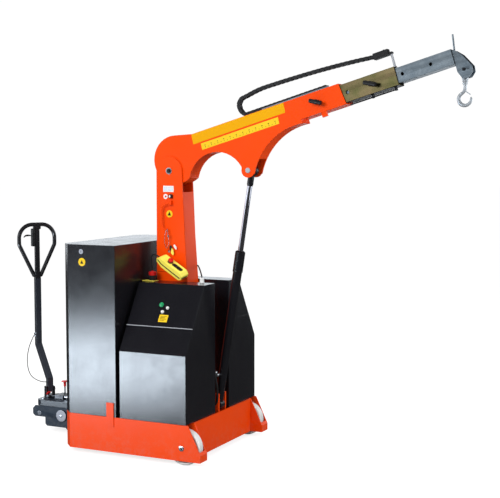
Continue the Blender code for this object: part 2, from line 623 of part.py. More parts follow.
def addEnergyChain(boom):
    """Cable carrier looped back over the boom: fixed run, bend and bowed moving run."""
    half = 0.018
    thick = 0.022
    low = 0.1622
    addPart("chain_fixed_run", boxMesh((0.5485, -half, low), (1.039, half, low + thick)),
            blackPlastic, boom)
    upper = [(0.5635, 0.2720), (0.650, 0.2815), (0.750, 0.2810), (0.900, 0.2755), (1.050, 0.2670),
             (1.200, 0.2545), (1.3310, 0.2402)]
    run = sidePrism(stripOutline(smoothRoute(upper, 3), thick), -half, half)
    addPart("chain_moving_run", run, blackPlastic, boom)
    turn = [(0.5570, 0.2705), (0.5300, 0.2640), (0.5100, 0.2450), (0.5050, 0.2220),
            (0.5110, 0.1960), (0.5260, 0.1785), (0.5360, 0.1735), (0.5450, 0.1732)]
    bend = sidePrism(stripOutline(smoothRoute(turn, 2), thick), -half, half)
    addPart("chain_bend", bend, blackPlastic, boom)
    bracket = addPart("chain_bracket", boxMesh((1.3335, -0.020, 0.2220), (1.4180, 0.020, 0.2560)),
                      blackPlastic, boom)
    join(bracket, boxMesh((1.3900, -0.016, 0.2260), (1.4370, 0.016, 0.2360)))
    join(bracket, rodMesh((1.4290, 0, boomAxis + 0.050 + gap), (1.4290, 0, 0.2300), 0.005, 12))


def addCylinder(hoist, boom):
    """Luffing ram. It hangs from the lobe pin; its lower eye carries the foot pin."""
    lift = Matrix.Rotation(-boomAngle, 3, "Y")
    head = mastPivot + lift @ lobePivot
    line = head - footPivot
    length = line.length
    tilt = (0, pi / 2 - atan2(line.z, line.x), 0)
    ram = makeEmpty("ram", footPivot, tilt, hoist)
    eye = 0.032
    rod = addPart("cylinder_rod", rodMesh((0, 0, 0.420), (0, 0, length - 0.025), rodRadius, 24),
                  chromeRod, ram)
    join(rod, rodMesh((0, -0.024, length), (0, 0.024, length), eye, 28))
    shape(rod, rodMesh((0, -0.1, length), (0, 0.1, length), 0.0153, 24))
    barrel = addPart("cylinder_barrel", rodMesh((0, 0, 0.020), (0, 0, barrelEnd), barrelRadius,
                                                28), blackPaint, ram)
    join(barrel, rodMesh((0, 0, barrelEnd - 0.114), (0, 0, barrelEnd - 0.001), 0.029, 28))
    join(barrel, rodMesh((0, -0.024, 0), (0, 0.024, 0), 0.030, 24))
    shape(barrel, rodMesh((0, 0, 0.050), (0, 0, length), rodRadius + 0.0003, 24))
    join(barrel, rodMesh((0, -0.033, 0), (0, 0.033, 0), 0.014, 20))
    join(barrel, rodMesh((0, -0.020, 0.180), (-0.006, -0.058, 0.184), 0.010, 16))


def addPendant(hoist):
    """Hand control stowed on the near lid, leaning on the mast."""
    slope = radians(30.0)
    # own frame: x along the case towards its nose, z towards the keys
    place = Vector((0.018, -0.122, 1.0895))
    along = Vector((cos(slope), -0.10, -sin(slope))).normalized()
    keysWay = Vector((0.15, -0.30, 0.94))
    keysWay = (keysWay - along * keysWay.dot(along)).normalized()
    across = keysWay.cross(along)
    matrix = Matrix.Translation(place) @ Matrix((along, across, keysWay)).transposed().to_4x4()
    hand = makeEmpty("pendant_place", matrix.to_translation(), matrix.to_euler(), hoist)
    case = [(-0.020, -0.006), (-0.026, 0.012), (-0.010, 0.026), (0.154, 0.026), (0.172, 0.010),
            (0.172, -0.010), (0.158, -0.022), (0.020, -0.022)]
    shell = addPart("pendant_case", sidePrism(case, -0.031, 0.031), yellowPlastic, hand)
    top = 0.026
    stop = [(0, top + 0.020), (0.013, top + 0.019), (0.016, top + 0.014), (0.015, top + 0.009),
            (0.009, top + 0.008), (0.009, top - 0.005), (0, top - 0.005)]
    turned("pendant_stop", stop, redPlastic, hand, (0.052, 0, 0), (0, 0, 1), 20)
    shape(shell, rodMesh((0.052, 0, top - 0.010), (0.052, 0, top + 0.010), 0.0097, 20))
    for index in range(3):
        spot = 0.085 + 0.023 * index
        key = [(0, top + 0.007), (0.0075, top + 0.006), (0.0085, top + 0.004),
               (0.0085, top - 0.003), (0, top - 0.003)]
        turned("pendant_key_%d" % (index + 1), key, blackPlastic, hand, (spot, 0, 0), (0, 0, 1), 14)
        shape(shell, rodMesh((spot, 0, top - 0.008), (spot, 0, top + 0.010), 0.0092, 16))
    start = matrix @ Vector((-0.0250, 0.0, 0.0040))
    away = -Vector(matrix.col[0][:3])
    route = [start + away * 0.0010, start + away * 0.020, (-0.032, -0.126, 1.122),
             (-0.045, -0.127, 1.122), (-0.053, -0.128, 1.105), (-0.0535, -0.127, 1.075),
             (-0.051, -0.1255, 1.052), (-0.050, -0.125, coverCrest[1] + 0.0568)]
    addPart("pendant_cable", tubeMesh(smoothRoute(route, 5), 0.004, resolution=2),
            blackPlastic, hoist)


def build():
    hoist = makeEmpty("hoist", (-originX, 0, 0))
    addBaseFrame(hoist)
    addMast(hoist)
    addTowerCover(hoist)
    addSideCovers(hoist)
    addPanelControls(hoist)
    addMastFittings(hoist)
    addFootBracket(hoist)
    addFrontWheels(hoist)
    addDriveUnit(hoist)
    addSteering(hoist)
    addTiller(hoist)
    boom = makeEmpty("boom", mastPivot, (0, -boomAngle, 0), hoist)
    addBoom(boom)
    addTelescope(boom)
    addTip(boom)
    addHook(boom)
    addEnergyChain(boom)
    addCylinder(hoist, boom)
    addPendant(hoist)


clearScene()
parts = makeCollection("floor_crane")
cutters = makeCollection("cutters")
build()
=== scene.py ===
# Counterbalanced floor crane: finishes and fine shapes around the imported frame.
import json
import bmesh
import bpy
import numpy as np
from math import atan2, cos, pi, radians, sin
from mathutils import Matrix, Vector

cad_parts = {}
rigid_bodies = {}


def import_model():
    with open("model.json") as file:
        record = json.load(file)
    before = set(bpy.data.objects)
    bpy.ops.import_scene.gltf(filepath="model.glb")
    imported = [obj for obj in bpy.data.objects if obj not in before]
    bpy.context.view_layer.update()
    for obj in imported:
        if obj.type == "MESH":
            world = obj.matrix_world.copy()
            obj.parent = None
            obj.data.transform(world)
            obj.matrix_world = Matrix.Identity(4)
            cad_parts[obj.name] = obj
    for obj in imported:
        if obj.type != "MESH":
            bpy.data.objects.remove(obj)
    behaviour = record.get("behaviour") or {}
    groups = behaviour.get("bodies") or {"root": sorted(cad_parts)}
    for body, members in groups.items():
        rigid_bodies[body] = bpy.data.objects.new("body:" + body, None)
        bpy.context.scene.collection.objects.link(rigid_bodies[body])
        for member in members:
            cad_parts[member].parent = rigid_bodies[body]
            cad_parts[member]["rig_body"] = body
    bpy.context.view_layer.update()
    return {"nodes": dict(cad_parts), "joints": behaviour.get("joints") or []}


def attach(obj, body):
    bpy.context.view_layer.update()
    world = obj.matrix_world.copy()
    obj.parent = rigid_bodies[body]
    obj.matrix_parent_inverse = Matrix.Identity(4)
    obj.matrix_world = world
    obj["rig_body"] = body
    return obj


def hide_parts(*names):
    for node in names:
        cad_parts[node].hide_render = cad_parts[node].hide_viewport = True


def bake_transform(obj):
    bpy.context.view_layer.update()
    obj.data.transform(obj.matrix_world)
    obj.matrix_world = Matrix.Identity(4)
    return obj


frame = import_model()
print("frame loaded:", len(frame["nodes"]), "nodes")

# Places taken from the frame
joints = {joint["name"]: joint for joint in frame["joints"]}
mastPivot = Vector(joints["boom_luff"]["pos_m"])
boomWay = Vector(joints["middle_slide"]["axis"])
boomAngle = atan2(boomWay.z, boomWay.x)
boomFrame = Matrix.Translation(mastPivot) @ Matrix.Rotation(-boomAngle, 4, "Y")
tillerTurn = radians(-35.0)
tillerBase = Vector(joints["tiller_steer"]["pos_m"])
tillerFrame = Matrix.Translation((tillerBase.x, 0, 0)) @ Matrix.Rotation(tillerTurn, 4, "Z")
wheelCentres = [Vector(joints[name]["pos_m"]) for name in ("near_wheel_roll", "far_wheel_roll")]
hookPin = Vector(joints["hook_swing"]["pos_m"])
lobePin = Vector(joints["ram_head_pivot"]["pos_m"])
identity = Matrix.Identity(4)
up = (0, 0, 1)
white = (1, 1, 1, 1)
originX = 0.3336              # the frame's origin sits this far ahead of the base's middle
boomAxis = 0.101              # the telescope's axis above the pivot, in the boom's own frame


# Camera, floor and light
def placed(name, data):
    thing = bpy.data.objects.new(name, data)
    bpy.context.scene.collection.objects.link(thing)
    return thing


def aim(thing, place, way):
    thing.location = place
    thing.rotation_mode = "QUATERNION"
    thing.rotation_quaternion = way.to_track_quat("-Z", "Y")


def addCamera():
    data = bpy.data.cameras.new("camera")
    data.sensor_width = 36.0
    data.lens = 82.81
    camera = placed("camera", data)
    azimuth = 0.44749
    pitch = 0.08105
    view = Vector((-sin(azimuth) * cos(pitch), cos(azimuth) * cos(pitch), -sin(pitch)))
    aim(camera, (3.304 - originX, -5.818, 1.689), view)
    bpy.context.scene.camera = camera


def addLight(name, place, target, size, power, seenBy, colour=(1, 1, 1)):
    data = bpy.data.lights.new(name, "AREA")
    data.shape = "RECTANGLE"
    data.size, data.size_y = size
    data.energy = power
    data.color = colour
    light = placed(name, data)
    aim(light, place, Vector(target) - Vector(place))
    light.visible_camera = False
    light.visible_diffuse = seenBy != "gloss"
    light.visible_glossy = seenBy != "diffuse"


def setInputs(node, values):
    for label, value in values.items():
        node.inputs[label].default_value = value


# The world is bright behind the crane and soft on matt faces, and darker in reflections
def addStudio():
    floorMesh = bpy.data.meshes.new("floor")
    half = 60.0
    floorMesh.from_pydata([(-half, -half, 0), (half, -half, 0), (half, half, 0), (-half, half, 0)],
                          [], [(0, 1, 2, 3)])
    floor = placed("floor", floorMesh)
    floor.visible_glossy = False
    material = bpy.data.materials.new("studioFloor")
    material.use_nodes = True
    shader = material.node_tree.nodes["Principled BSDF"]
    setInputs(shader, {"Base Color": (0.42, 0.42, 0.42, 1), "Roughness": 0.9,
                       "Specular IOR Level": 0.0, "Emission Color": white})
    floorNodes = material.node_tree.nodes
    glow = floorNodes.new("ShaderNodeLightPath")
    amount = floorNodes.new("ShaderNodeMath")
    amount.operation = "MULTIPLY"
    material.node_tree.links.new(glow.outputs["Is Camera Ray"], amount.inputs[0])
    amount.inputs[1].default_value = studio["floorGlow"]
    material.node_tree.links.new(amount.outputs[0], shader.inputs["Emission Strength"])
    floorMesh.materials.append(material)
    world = bpy.data.worlds.new("studio")
    bpy.context.scene.world = world
    world.use_nodes = True
    nodes = world.node_tree.nodes
    links = world.node_tree.links
    background = nodes["Background"]
    setInputs(background, {"Color": white})
    path = nodes.new("ShaderNodeLightPath")
    gloss = nodes.new("ShaderNodeMix")
    setInputs(gloss, {"A": studio["worldFill"], "B": studio["worldGloss"]})
    links.new(path.outputs["Is Glossy Ray"], gloss.inputs["Factor"])
    seen = nodes.new("ShaderNodeMix")
    links.new(gloss.outputs["Result"], seen.inputs["A"])
    setInputs(seen, {"B": studio["worldSeen"]})
    links.new(path.outputs["Is Camera Ray"], seen.inputs["Factor"])
    links.new(seen.outputs["Result"], background.inputs["Strength"])
    for name, values in studio["lights"].items():
        addLight(name, *values)
    bpy.context.scene.view_settings.view_transform = "Standard"


cool = (0.88, 0.94, 1.0)
studio = {
    "worldFill": 0.50, "worldGloss": 0.05, "worldSeen": 1.02, "floorGlow": 0.80,
    "lights": {
        "keySoft": ((-0.8, -5.0, 3.2), (0.1, 0, 0.9), (3.0, 2.2), 222, "diffuse"),
        "topSoft": ((-0.2, 0.6, 4.8), (0.0, 0, 0.8), (3.2, 3.2), 60, "diffuse"),
        "frontSoft": ((5.0, 0.6, 2.4), (0.2, 0, 1.1), (2.4, 2.4), 110, "diffuse"),
        "lowBox": ((-1.78, -2.1, 0.145), (-0.93, -0.44, 0.185), (1.86, 0.54), 76, "gloss",
                   (0.78, 0.89, 1.0)),
        "backdrop": ((-2.0, 6.0, 1.9), (0, 0, 1.3), (14.0, 3.0), 220, "gloss", cool),
        "highBox": ((-1.0, -4.2, 2.45), (0.4, 0, 2.3), (8.0, 1.1), 27, "gloss", cool),
        "leftBox": ((-6.0, -2.0, 1.9), (0, 0, 1.5), (8.0, 2.4), 90, "gloss", cool),
        "rightBox": ((5.0, 0.8, 1.9), (0.2, 0, 1.6), (4.0, 2.4), 50, "gloss", cool),
    },
}
addCamera()
addStudio()
print("camera, floor and light placed")


# Finishes; a number or a tuple is set on a socket, and another node's output is linked to it
def feed(tree, socket, value):
    if isinstance(value, (int, float, tuple)):
        socket.default_value = value
    else:
        tree.links.new(value, socket)


def noiseNode(tree, vector, scale, detail, roughness=0.5):
    noise = tree.nodes.new("ShaderNodeTexNoise")
    setInputs(noise, {"Detail": detail, "Roughness": roughness})
    feed(tree, noise.inputs["Vector"], vector)
    feed(tree, noise.inputs["Scale"], scale)
    return noise.outputs["Fac"]


def rangeNode(tree, value, fromLow, fromHigh, toLow=0.0, toHigh=1.0):
    span = tree.nodes.new("ShaderNodeMapRange")
    for label, number in (("Value", value), ("From Min", fromLow), ("From Max", fromHigh),
                          ("To Min", toLow), ("To Max", toHigh)):
        feed(tree, span.inputs[label], number)
    return span.outputs["Result"]


def mixColour(tree, factor, first, second):
    mix = tree.nodes.new("ShaderNodeMix")
    mix.data_type = "RGBA"
    for index, value in ((0, factor), (6, first), (7, second)):
        feed(tree, mix.inputs[index], value)
    return mix.outputs[2]


# A group that every skin starts from: its colour drifts from the first to the second
def newSkin(name, cloud, low, high):
    tree = bpy.data.node_groups.new(name, "ShaderNodeTree")
    for label, kind in (("Vector", "Vector"), ("Colour", "Color"), ("Second", "Color"),
                        ("Scale", "Float"), ("Rough Low", "Float"), ("Rough High", "Float")):
        tree.interface.new_socket(label, in_out="INPUT", socket_type="NodeSocket" + kind)
    for label, kind in (("Colour", "Color"), ("Roughness", "Float"), ("Height", "Float")):
        tree.interface.new_socket(label, in_out="OUTPUT", socket_type="NodeSocket" + kind)
    given = tree.nodes.new("NodeGroupInput").outputs
    tone = noiseNode(tree, given["Vector"], *cloud)
    colour = mixColour(tree, rangeNode(tree, tone, low, high), given["Colour"], given["Second"])
    return tree, given, colour, tone


def closeSkin(tree, given, colour, shine, height):
    end = tree.nodes.new("NodeGroupOutput")
    rough = rangeNode(tree, shine, 0.3, 0.7, given["Rough Low"], given["Rough High"])
    for label, value in (("Colour", colour), ("Roughness", rough), ("Height", height)):
        feed(tree, end.inputs[label], value)
    return tree


# Sprayed or powder-coated skin: broad tone drift, fine peel, and a little dust low down
def buildCoatSkin():
    tree, given, colour = newSkin("coatSkin", (2.2, 3.0), 0.35, 0.75)[:3]
    vector = given["Vector"]
    split = tree.nodes.new("ShaderNodeSeparateXYZ")
    feed(tree, split.inputs[0], vector)
    speckle = noiseNode(tree, vector, 38.0, 6.0, 0.7)
    dusty = tree.nodes.new("ShaderNodeMath")
    dusty.operation = "MULTIPLY"
    feed(tree, dusty.inputs[0], rangeNode(tree, split.outputs["Z"], 0.0, 0.22, 0.16, 0.0))
    feed(tree, dusty.inputs[1], rangeNode(tree, speckle, 0.45, 0.7))
    colour = mixColour(tree, dusty.outputs[0], colour, (0.42, 0.38, 0.33, 1))
    return closeSkin(tree, given, colour, noiseNode(tree, vector, 9.0, 4.0, 0.6),
                     noiseNode(tree, vector, given["Scale"], 2.0))


# Rolled, plated or ground metal: drift of tint, and streaks along one way
def buildMetalSkin():
    tree, given, colour = newSkin("metalSkin", (14.0, 5.0, 0.65), 0.3, 0.7)[:3]
    stretch = tree.nodes.new("ShaderNodeMapping")
    setInputs(stretch, {"Scale": (0.08, 1.0, 1.0)})
    feed(tree, stretch.inputs["Vector"], given["Vector"])
    streak = noiseNode(tree, stretch.outputs[0], given["Scale"], 3.0, 0.6)
    return closeSkin(tree, given, colour, streak, streak)


# Moulded plastic or rubber: even tone with fine stipple
def buildMouldSkin():
    tree, given, colour, tone = newSkin("mouldSkin", (22.0, 5.0, 0.6), 0.45, 0.8)
    return closeSkin(tree, given, colour, tone,
                     noiseNode(tree, given["Vector"], given["Scale"], 2.0))


skins = {"coat": buildCoatSkin(), "metal": buildMetalSkin(), "mould": buildMouldSkin()}


def finish(name, skin, colour, second, scale, rough, bump=0.1, metallic=0.0, coat=0.0,
           spread=(0, 0, 0), gloss=0.5):
    material = bpy.data.materials.new(name)
    material.use_nodes = True
    tree = material.node_tree
    shader = tree.nodes["Principled BSDF"]
    setInputs(shader, {"Metallic": metallic, "Coat Weight": coat, "Coat Roughness": 0.12,
                       "Specular IOR Level": gloss})
    coordinates = tree.nodes.new("ShaderNodeTexCoord")
    turn = tree.nodes.new("ShaderNodeMapping")
    setInputs(turn, {"Rotation": spread})
    feed(tree, turn.inputs["Vector"], coordinates.outputs["Object"])
    group = tree.nodes.new("ShaderNodeGroup")
    group.node_tree = skins[skin]
    for index, value in enumerate((turn.outputs[0], (*colour, 1), (*second, 1), scale, *rough)):
        feed(tree, group.inputs[index], value)
    relief = tree.nodes.new("ShaderNodeBump")
    setInputs(relief, {"Strength": bump, "Distance": 0.0004})
    feed(tree, relief.inputs["Height"], group.outputs["Height"])
    for label, value in (("Base Color", group.outputs["Colour"]),
                         ("Roughness", group.outputs["Roughness"]),
                         ("Normal", relief.outputs["Normal"])):
        feed(tree, shader.inputs[label], value)
    return material


alongBoom = (0, boomAngle, 0)
finishes = {
    "orange": finish("orangeCoat", "coat", (0.90, 0.068, 0.0012), (0.86, 0.060, 0.001), 320.0,
                     (0.28, 0.38), 0.12, gloss=0.16),
    "black": finish("blackCoat", "coat", (0.0070, 0.0070, 0.0095), (0.010, 0.010, 0.013), 420.0,
                    (0.20, 0.27), 0.5, gloss=0.52),
    "grey": finish("greyCoat", "coat", (0.34, 0.37, 0.44), (0.28, 0.31, 0.38), 300.0,
                   (0.35, 0.5), 0.15),
    "slate": finish("slateCoat", "coat", (0.018, 0.031, 0.052), (0.013, 0.023, 0.040), 300.0,
                    (0.40, 0.52), 0.15, gloss=0.15),
    "deck": finish("deckCoat", "coat", (0.022, 0.030, 0.044), (0.016, 0.022, 0.034), 300.0,
                   (0.26, 0.34), 0.15, gloss=0.55),
    "arm": finish("armCoat", "coat", (0.022, 0.026, 0.036), (0.030, 0.034, 0.046), 300.0,
                  (0.28, 0.42), 0.15),
    "steel": finish("brightSteel", "metal", (0.62, 0.63, 0.65), (0.50, 0.51, 0.54), 90.0,
                    (0.18, 0.36), 0.08, metallic=1.0),
    "dark": finish("blackenedSteel", "metal", (0.045, 0.045, 0.05), (0.09, 0.09, 0.095), 90.0,
                   (0.3, 0.5), 0.1, metallic=1.0),
    "zinc": finish("zincPlate", "metal", (0.46, 0.52, 0.56), (0.27, 0.33, 0.38), 40.0,
                   (0.26, 0.42), 0.06, metallic=1.0, spread=alongBoom),
    "chromate": finish("oliveChromate", "metal", (0.40, 0.29, 0.15), (0.20, 0.20, 0.07), 26.0,
                       (0.16, 0.34), 0.05, metallic=1.0, spread=alongBoom),
    "chrome": finish("hardChrome", "metal", (0.82, 0.83, 0.85), (0.76, 0.77, 0.80), 160.0,
                     (0.05, 0.12), 0.03, metallic=1.0),
    "rod": finish("polishedRod", "metal", (0.60, 0.60, 0.67), (0.54, 0.54, 0.60), 160.0,
                  (0.08, 0.16), 0.03, metallic=1.0),
    "bright": finish("brightZinc", "metal", (0.70, 0.75, 0.80), (0.46, 0.51, 0.56), 60.0,
                     (0.24, 0.38), 0.05, metallic=0.5),
    "iron": finish("castIron", "metal", (0.10, 0.10, 0.10), (0.07, 0.06, 0.055), 60.0,
                   (0.6, 0.8), 0.4, metallic=0.4),
    "plastic": finish("blackPlastic", "mould", (0.012, 0.012, 0.013), (0.022, 0.022, 0.024),
                      900.0, (0.35, 0.5)),
    "rubber": finish("blackRubber", "mould", (0.014, 0.014, 0.015), (0.024, 0.023, 0.022),
                     700.0, (0.5, 0.7), 0.2),
    "yellow": finish("yellowCase", "mould", (0.98, 0.86, 0.12), (0.92, 0.78, 0.08), 800.0,
                     (0.3, 0.45)),
    "red": finish("redPlastic", "mould", (0.68, 0.012, 0.012), (0.55, 0.01, 0.01), 800.0,
                  (0.22, 0.35)),
    "green": finish("greenLens", "mould", (0.02, 0.36, 0.13), (0.015, 0.28, 0.10), 500.0,
                    (0.12, 0.2), 0.03, coat=0.5),
    "gloss": finish("glossBlack", "coat", (0.010, 0.010, 0.012), (0.014, 0.014, 0.016), 300.0,
                    (0.22, 0.32), 0.1, coat=0.3),
    # A pale grey coat; on the lid folds and on the ram's head pin it is a painted highlight
    "paleGrey": finish("paleGreyCoat", "coat", (0.50, 0.52, 0.56), (0.30, 0.32, 0.36), 200.0,
                   (0.3, 0.45), 0.1),
    "nylon": finish("whiteNylon", "mould", (0.80, 0.81, 0.80), (0.70, 0.71, 0.70), 400.0,
                    (0.32, 0.5), 0.1),
    "amber": finish("amberFilm", "coat", (0.80, 0.385, 0.001), (0.77, 0.36, 0.001), 200.0,
                    (0.28, 0.36), 0.03, gloss=0.12),
    "lemon": finish("lemonFilm", "coat", (0.86, 0.58, 0.022), (0.83, 0.54, 0.018), 200.0,
                    (0.28, 0.36), 0.03, gloss=0.12),
    "ink": finish("blackInk", "coat", (0.01, 0.01, 0.01), (0.014, 0.014, 0.014), 200.0,
                  (0.45, 0.55), 0.03, gloss=0.1),
    "plate": finish("paleLabel", "coat", (0.72, 0.78, 0.86), (0.64, 0.72, 0.84), 200.0,
                    (0.25, 0.35), 0.03),
    "white": finish("whiteLabel", "coat", (0.86, 0.86, 0.86), (0.80, 0.80, 0.80), 200.0,
                    (0.3, 0.4), 0.03),
}
print("finishes made:", len(finishes))


# Shape tools
def dress(piece, look):
    piece.data.materials.clear()
    piece.data.materials.append(finishes[look])


def unit(vectors):
    return vectors / np.linalg.norm(vectors, axis=-1, keepdims=True)


def addMesh(name, points, faces, look, body, place=identity, smooth=True, closed=True):
    mesh = bpy.data.meshes.new(name)
    mesh.from_pydata(np.asarray(points, float).reshape(-1, 3).tolist(), [], faces)
    mesh.transform(place)
    if closed:
        work = bmesh.new()
        work.from_mesh(mesh)
        bmesh.ops.remove_doubles(work, verts=work.verts, dist=0.000005)
        bmesh.ops.recalc_face_normals(work, faces=work.faces)
        work.to_mesh(mesh)
        work.free()
    if smooth:
        mesh.shade_smooth()
        mesh.set_sharp_from_angle(angle=radians(38))
    piece = placed(name, mesh)
    dress(piece, look)
    if body:
        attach(piece, body)
    return piece


# Quads between neighbouring points of grid[u, v]; v wraps round, and the end rows are capped
def gridFaces(countU, countV, wrapU=False, caps=True):
    index = np.arange(countU * countV).reshape(countU, countV)
    u = np.arange(countU if wrapU else countU - 1)
    across, along = np.meshgrid(u, np.arange(countV), indexing="ij")
    nextU = (across + 1) % countU
    nextV = (along + 1) % countV
    quads = np.stack([index[across, along], index[nextU, along], index[nextU, nextV],
                      index[across, nextV]], -1).reshape(-1, 4).tolist()
    if caps and not wrapU:
        quads.append(index[0].tolist())
        quads.append(index[-1, ::-1].tolist())
    return quads


# Catmull-Rom curve through the route's points, all spans evaluated at once
def smoothRoute(points, steps, closed=False):
    points = np.array(points, float)
    if closed:
        padded = np.vstack([points[-1:], points, points[:2]])
    else:
        padded = np.vstack([2 * points[:1] - points[1:2], points, 2 * points[-1:] - points[-2:-1]])
    before, start, end, after = padded[:-3], padded[1:-2], padded[2:-1], padded[3:]
    t = np.linspace(0, 1, steps, endpoint=False)[None, :, None]
    before, start, end, after = (part[:, None, :] for part in (before, start, end, after))
    route = 0.5 * (2 * start + (end - before) * t
                   + (2 * before - 5 * start + 4 * end - after) * t ** 2
                   + (3 * start - before - 3 * end + after) * t ** 3)
    route = route.reshape(-1, points.shape[1])
    return route if closed else np.vstack([route, points[-1:]])


# A ring of points carried along a route: each ring stands square to the route's own way.
# The ring is a circle, of one radius or of one that changes along the route.
def sweep(name, route, radius, look, body, place=identity, sides=16, closed=False,
          reference=(0, 1, 0)):
    route = np.asarray(route, float)
    if closed:
        way = np.roll(route, -1, 0) - np.roll(route, 1, 0)
    else:
        way = np.gradient(route, axis=0)
    way = unit(way)
    side = unit(np.cross(np.broadcast_to(reference, way.shape), way))
    rise = np.cross(way, side)
    angle = np.linspace(0, 2 * pi, sides, endpoint=False)[None, :, None]
    size = np.broadcast_to(np.asarray(radius, float), (len(route),))[:, None, None]
    grid = (route[:, None, :] + size * np.cos(angle) * side[:, None, :]
            + size * np.sin(angle) * rise[:, None, :])
    faces = gridFaces(len(route), sides, wrapU=closed)
    return addMesh(name, grid, faces, look, body, place)


# Each corner of a profile is cut by a short arc-like chamfer, so edges catch the light
def roundedProfile(profile, cut):
    profile = np.array(profile, float)
    rows = [profile[:1]]
    for before, here, after in zip(profile[:-2], profile[1:-1], profile[2:]):
        first = before - here
        second = after - here
        reach = min(cut, np.linalg.norm(first) * 0.45, np.linalg.norm(second) * 0.45)
        start = here + first / np.linalg.norm(first) * reach
        end = here + second / np.linalg.norm(second) * reach
        share = np.linspace(0, 1, 4)[:, None]
        rows.append((1 - share) ** 2 * start + 2 * share * (1 - share) * here + share ** 2 * end)
    rows.append(profile[-1:])
    return np.vstack(rows)


# A profile of radius and height turned about an axis through place
def turned(name, profile, look, body, place, axis, sides=40, cut=0.0008, frameMatrix=identity):
    profile = roundedProfile(profile, cut)
    angle = np.linspace(0, 2 * pi, sides, endpoint=False)
    radius, height = profile[:, :1], profile[:, 1:]
    radius = np.maximum(radius, 0.000001)
    grid = np.stack([radius * np.cos(angle), radius * np.sin(angle),
                     np.broadcast_to(height, (len(profile), sides))], -1)
    turn = Vector(axis).to_track_quat("Z", "Y").to_matrix().to_4x4()
    matrix = frameMatrix @ Matrix.Translation(place) @ turn
    return addMesh(name, grid, gridFaces(len(profile), sides), look, body, matrix)


def bevelled(piece, width, segments=2):
    bevel = piece.modifiers.new("edge", "BEVEL")
    bevel.width = width
    bevel.segments = segments
    bevel.limit_method = "ANGLE"
    bevel.angle_limit = radians(30)
    bevel.harden_normals = True
    return piece


# A flat outline given thickness from low to high; "side" stands in x and z, "plan" lies flat
def slab(name, outline, low, high, look, body, place=identity, way="side", edge=0.0006):
    outline = np.array(outline, float)
    count = len(outline)
    order = (0, 2, 1) if way == "side" else (0, 1, 2)
    stack = [np.column_stack([outline, np.full(count, level)])[:, order] for level in (low, high)]
    piece = addMesh(name, np.array(stack), gridFaces(2, count), look, body, place)
    return bevelled(piece, edge) if edge else piece


def arc(centre, radius, start, end, steps):
    angle = np.radians(np.linspace(start, end, steps + 1))
    return np.stack([centre[0] + radius * np.cos(angle), centre[1] + radius * np.sin(angle)], -1)


def rectangle(low, high):
    return [(low[0], low[1]), (high[0], low[1]), (high[0], high[1]), (low[0], high[1])]


# A box with all edges rounded; low and high are its corners
def block(name, low, high, look, body, place=identity, edge=0.0015, segments=2):
    piece = slab(name, rectangle(low[:2], high[:2]), low[2], high[2], look, body, place, "plan", 0)
    return bevelled(piece, edge, segments)


# The node's own shape, merged and cleaned, with its edges rounded and a finish of its own
def refined(node, look, edge=0.0015, segments=2):
    source = frame["nodes"][node]
    work = bmesh.new()
    work.from_mesh(source.data)
    bmesh.ops.remove_doubles(work, verts=work.verts, dist=0.00002)
    bmesh.ops.dissolve_limit(work, angle_limit=radians(1.0), verts=work.verts, edges=work.edges)
    mesh = bpy.data.meshes.new(node + "_skin")
    work.to_mesh(mesh)
    work.free()
    mesh.shade_smooth()
    mesh.set_sharp_from_angle(angle=radians(30))
    piece = placed(node + "_skin", mesh)
    dress(piece, look)
    if edge:
        bevelled(piece, edge, segments)
    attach(piece, source["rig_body"])
    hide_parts(node)
    return piece


# Hexagon head with a chamfered crown
def hexHead(name, place, axis, across, height, look, body, frameMatrix=identity):
    profile = [(0, height), (across * 0.43, height), (across * 0.52, height * 0.82),
               (across * 0.577, height * 0.7), (across * 0.577, 0), (0, 0)]
    return turned(name, profile, look, body, place, axis, 6, 0.0002, frameMatrix)


nodeLooks = {
    "base_frame": ("orange", 0.0018), "mast_column": ("orange", 0.0016),
    "rear_cover": ("black", 0.0040), "near_cover": ("black", 0.0022),
    "near_cover_lid": ("black", 0.0026), "far_cover": ("black", 0.0022),
    "far_cover_lid": ("black", 0.0026), "boom_outer": ("orange", 0.0016),
    "cylinder_foot_bracket": ("orange", 0.0014), "boom_middle": ("chromate", 0.0045),
    "boom_inner": ("zinc", 0.0040), "tip_bracket": ("zinc", 0.0012),
    "rear_mount_plate": ("deck", 0.0020), "drive_housing": ("slate", 0.0016),
    "tiller_arm": ("arm", 0.0035), "tiller_yoke": ("dark", 0.0012), "steer_fork": ("dark", 0.0015),
    "lift_valve": ("dark", 0.0015), "chain_tray": ("zinc", 0.0002),
    "middle_guide_rod": ("dark", 0.0006), "hook_shackle": ("bright", 0.0020),
    "battery_pack": ("plastic", 0.0040), "hydraulic_unit": ("dark", 0.0030),
    "charger_box": ("plastic", 0.0030), "counterweight_1": ("iron", 0.0030),
    "counterweight_2": ("iron", 0.0030),
}
for node, (look, edge) in nodeLooks.items():
    refined(node, look, edge)
# The ram's head pin is painted pale grey, a painted highlight standing in for the bright glint of
# its chrome
plainLooks = {"mast_pivot_pin": "dark", "cylinder_head_pin": "paleGrey"}
for node, look in plainLooks.items():
    dress(frame["nodes"][node], look)
print("frame nodes finished")

# Shared small shapes
machine = Matrix.Translation((-originX, 0, 0))       # the base's own measuring frame
onBase = ("chassis", machine)         # a body, and the frame that its pieces are placed in
onBoom = ("boom", boomFrame)
onMiddle = ("middle", boomFrame)
onTiller = ("tiller", tillerFrame)
bothSides = (("near", -1), ("far", 1))


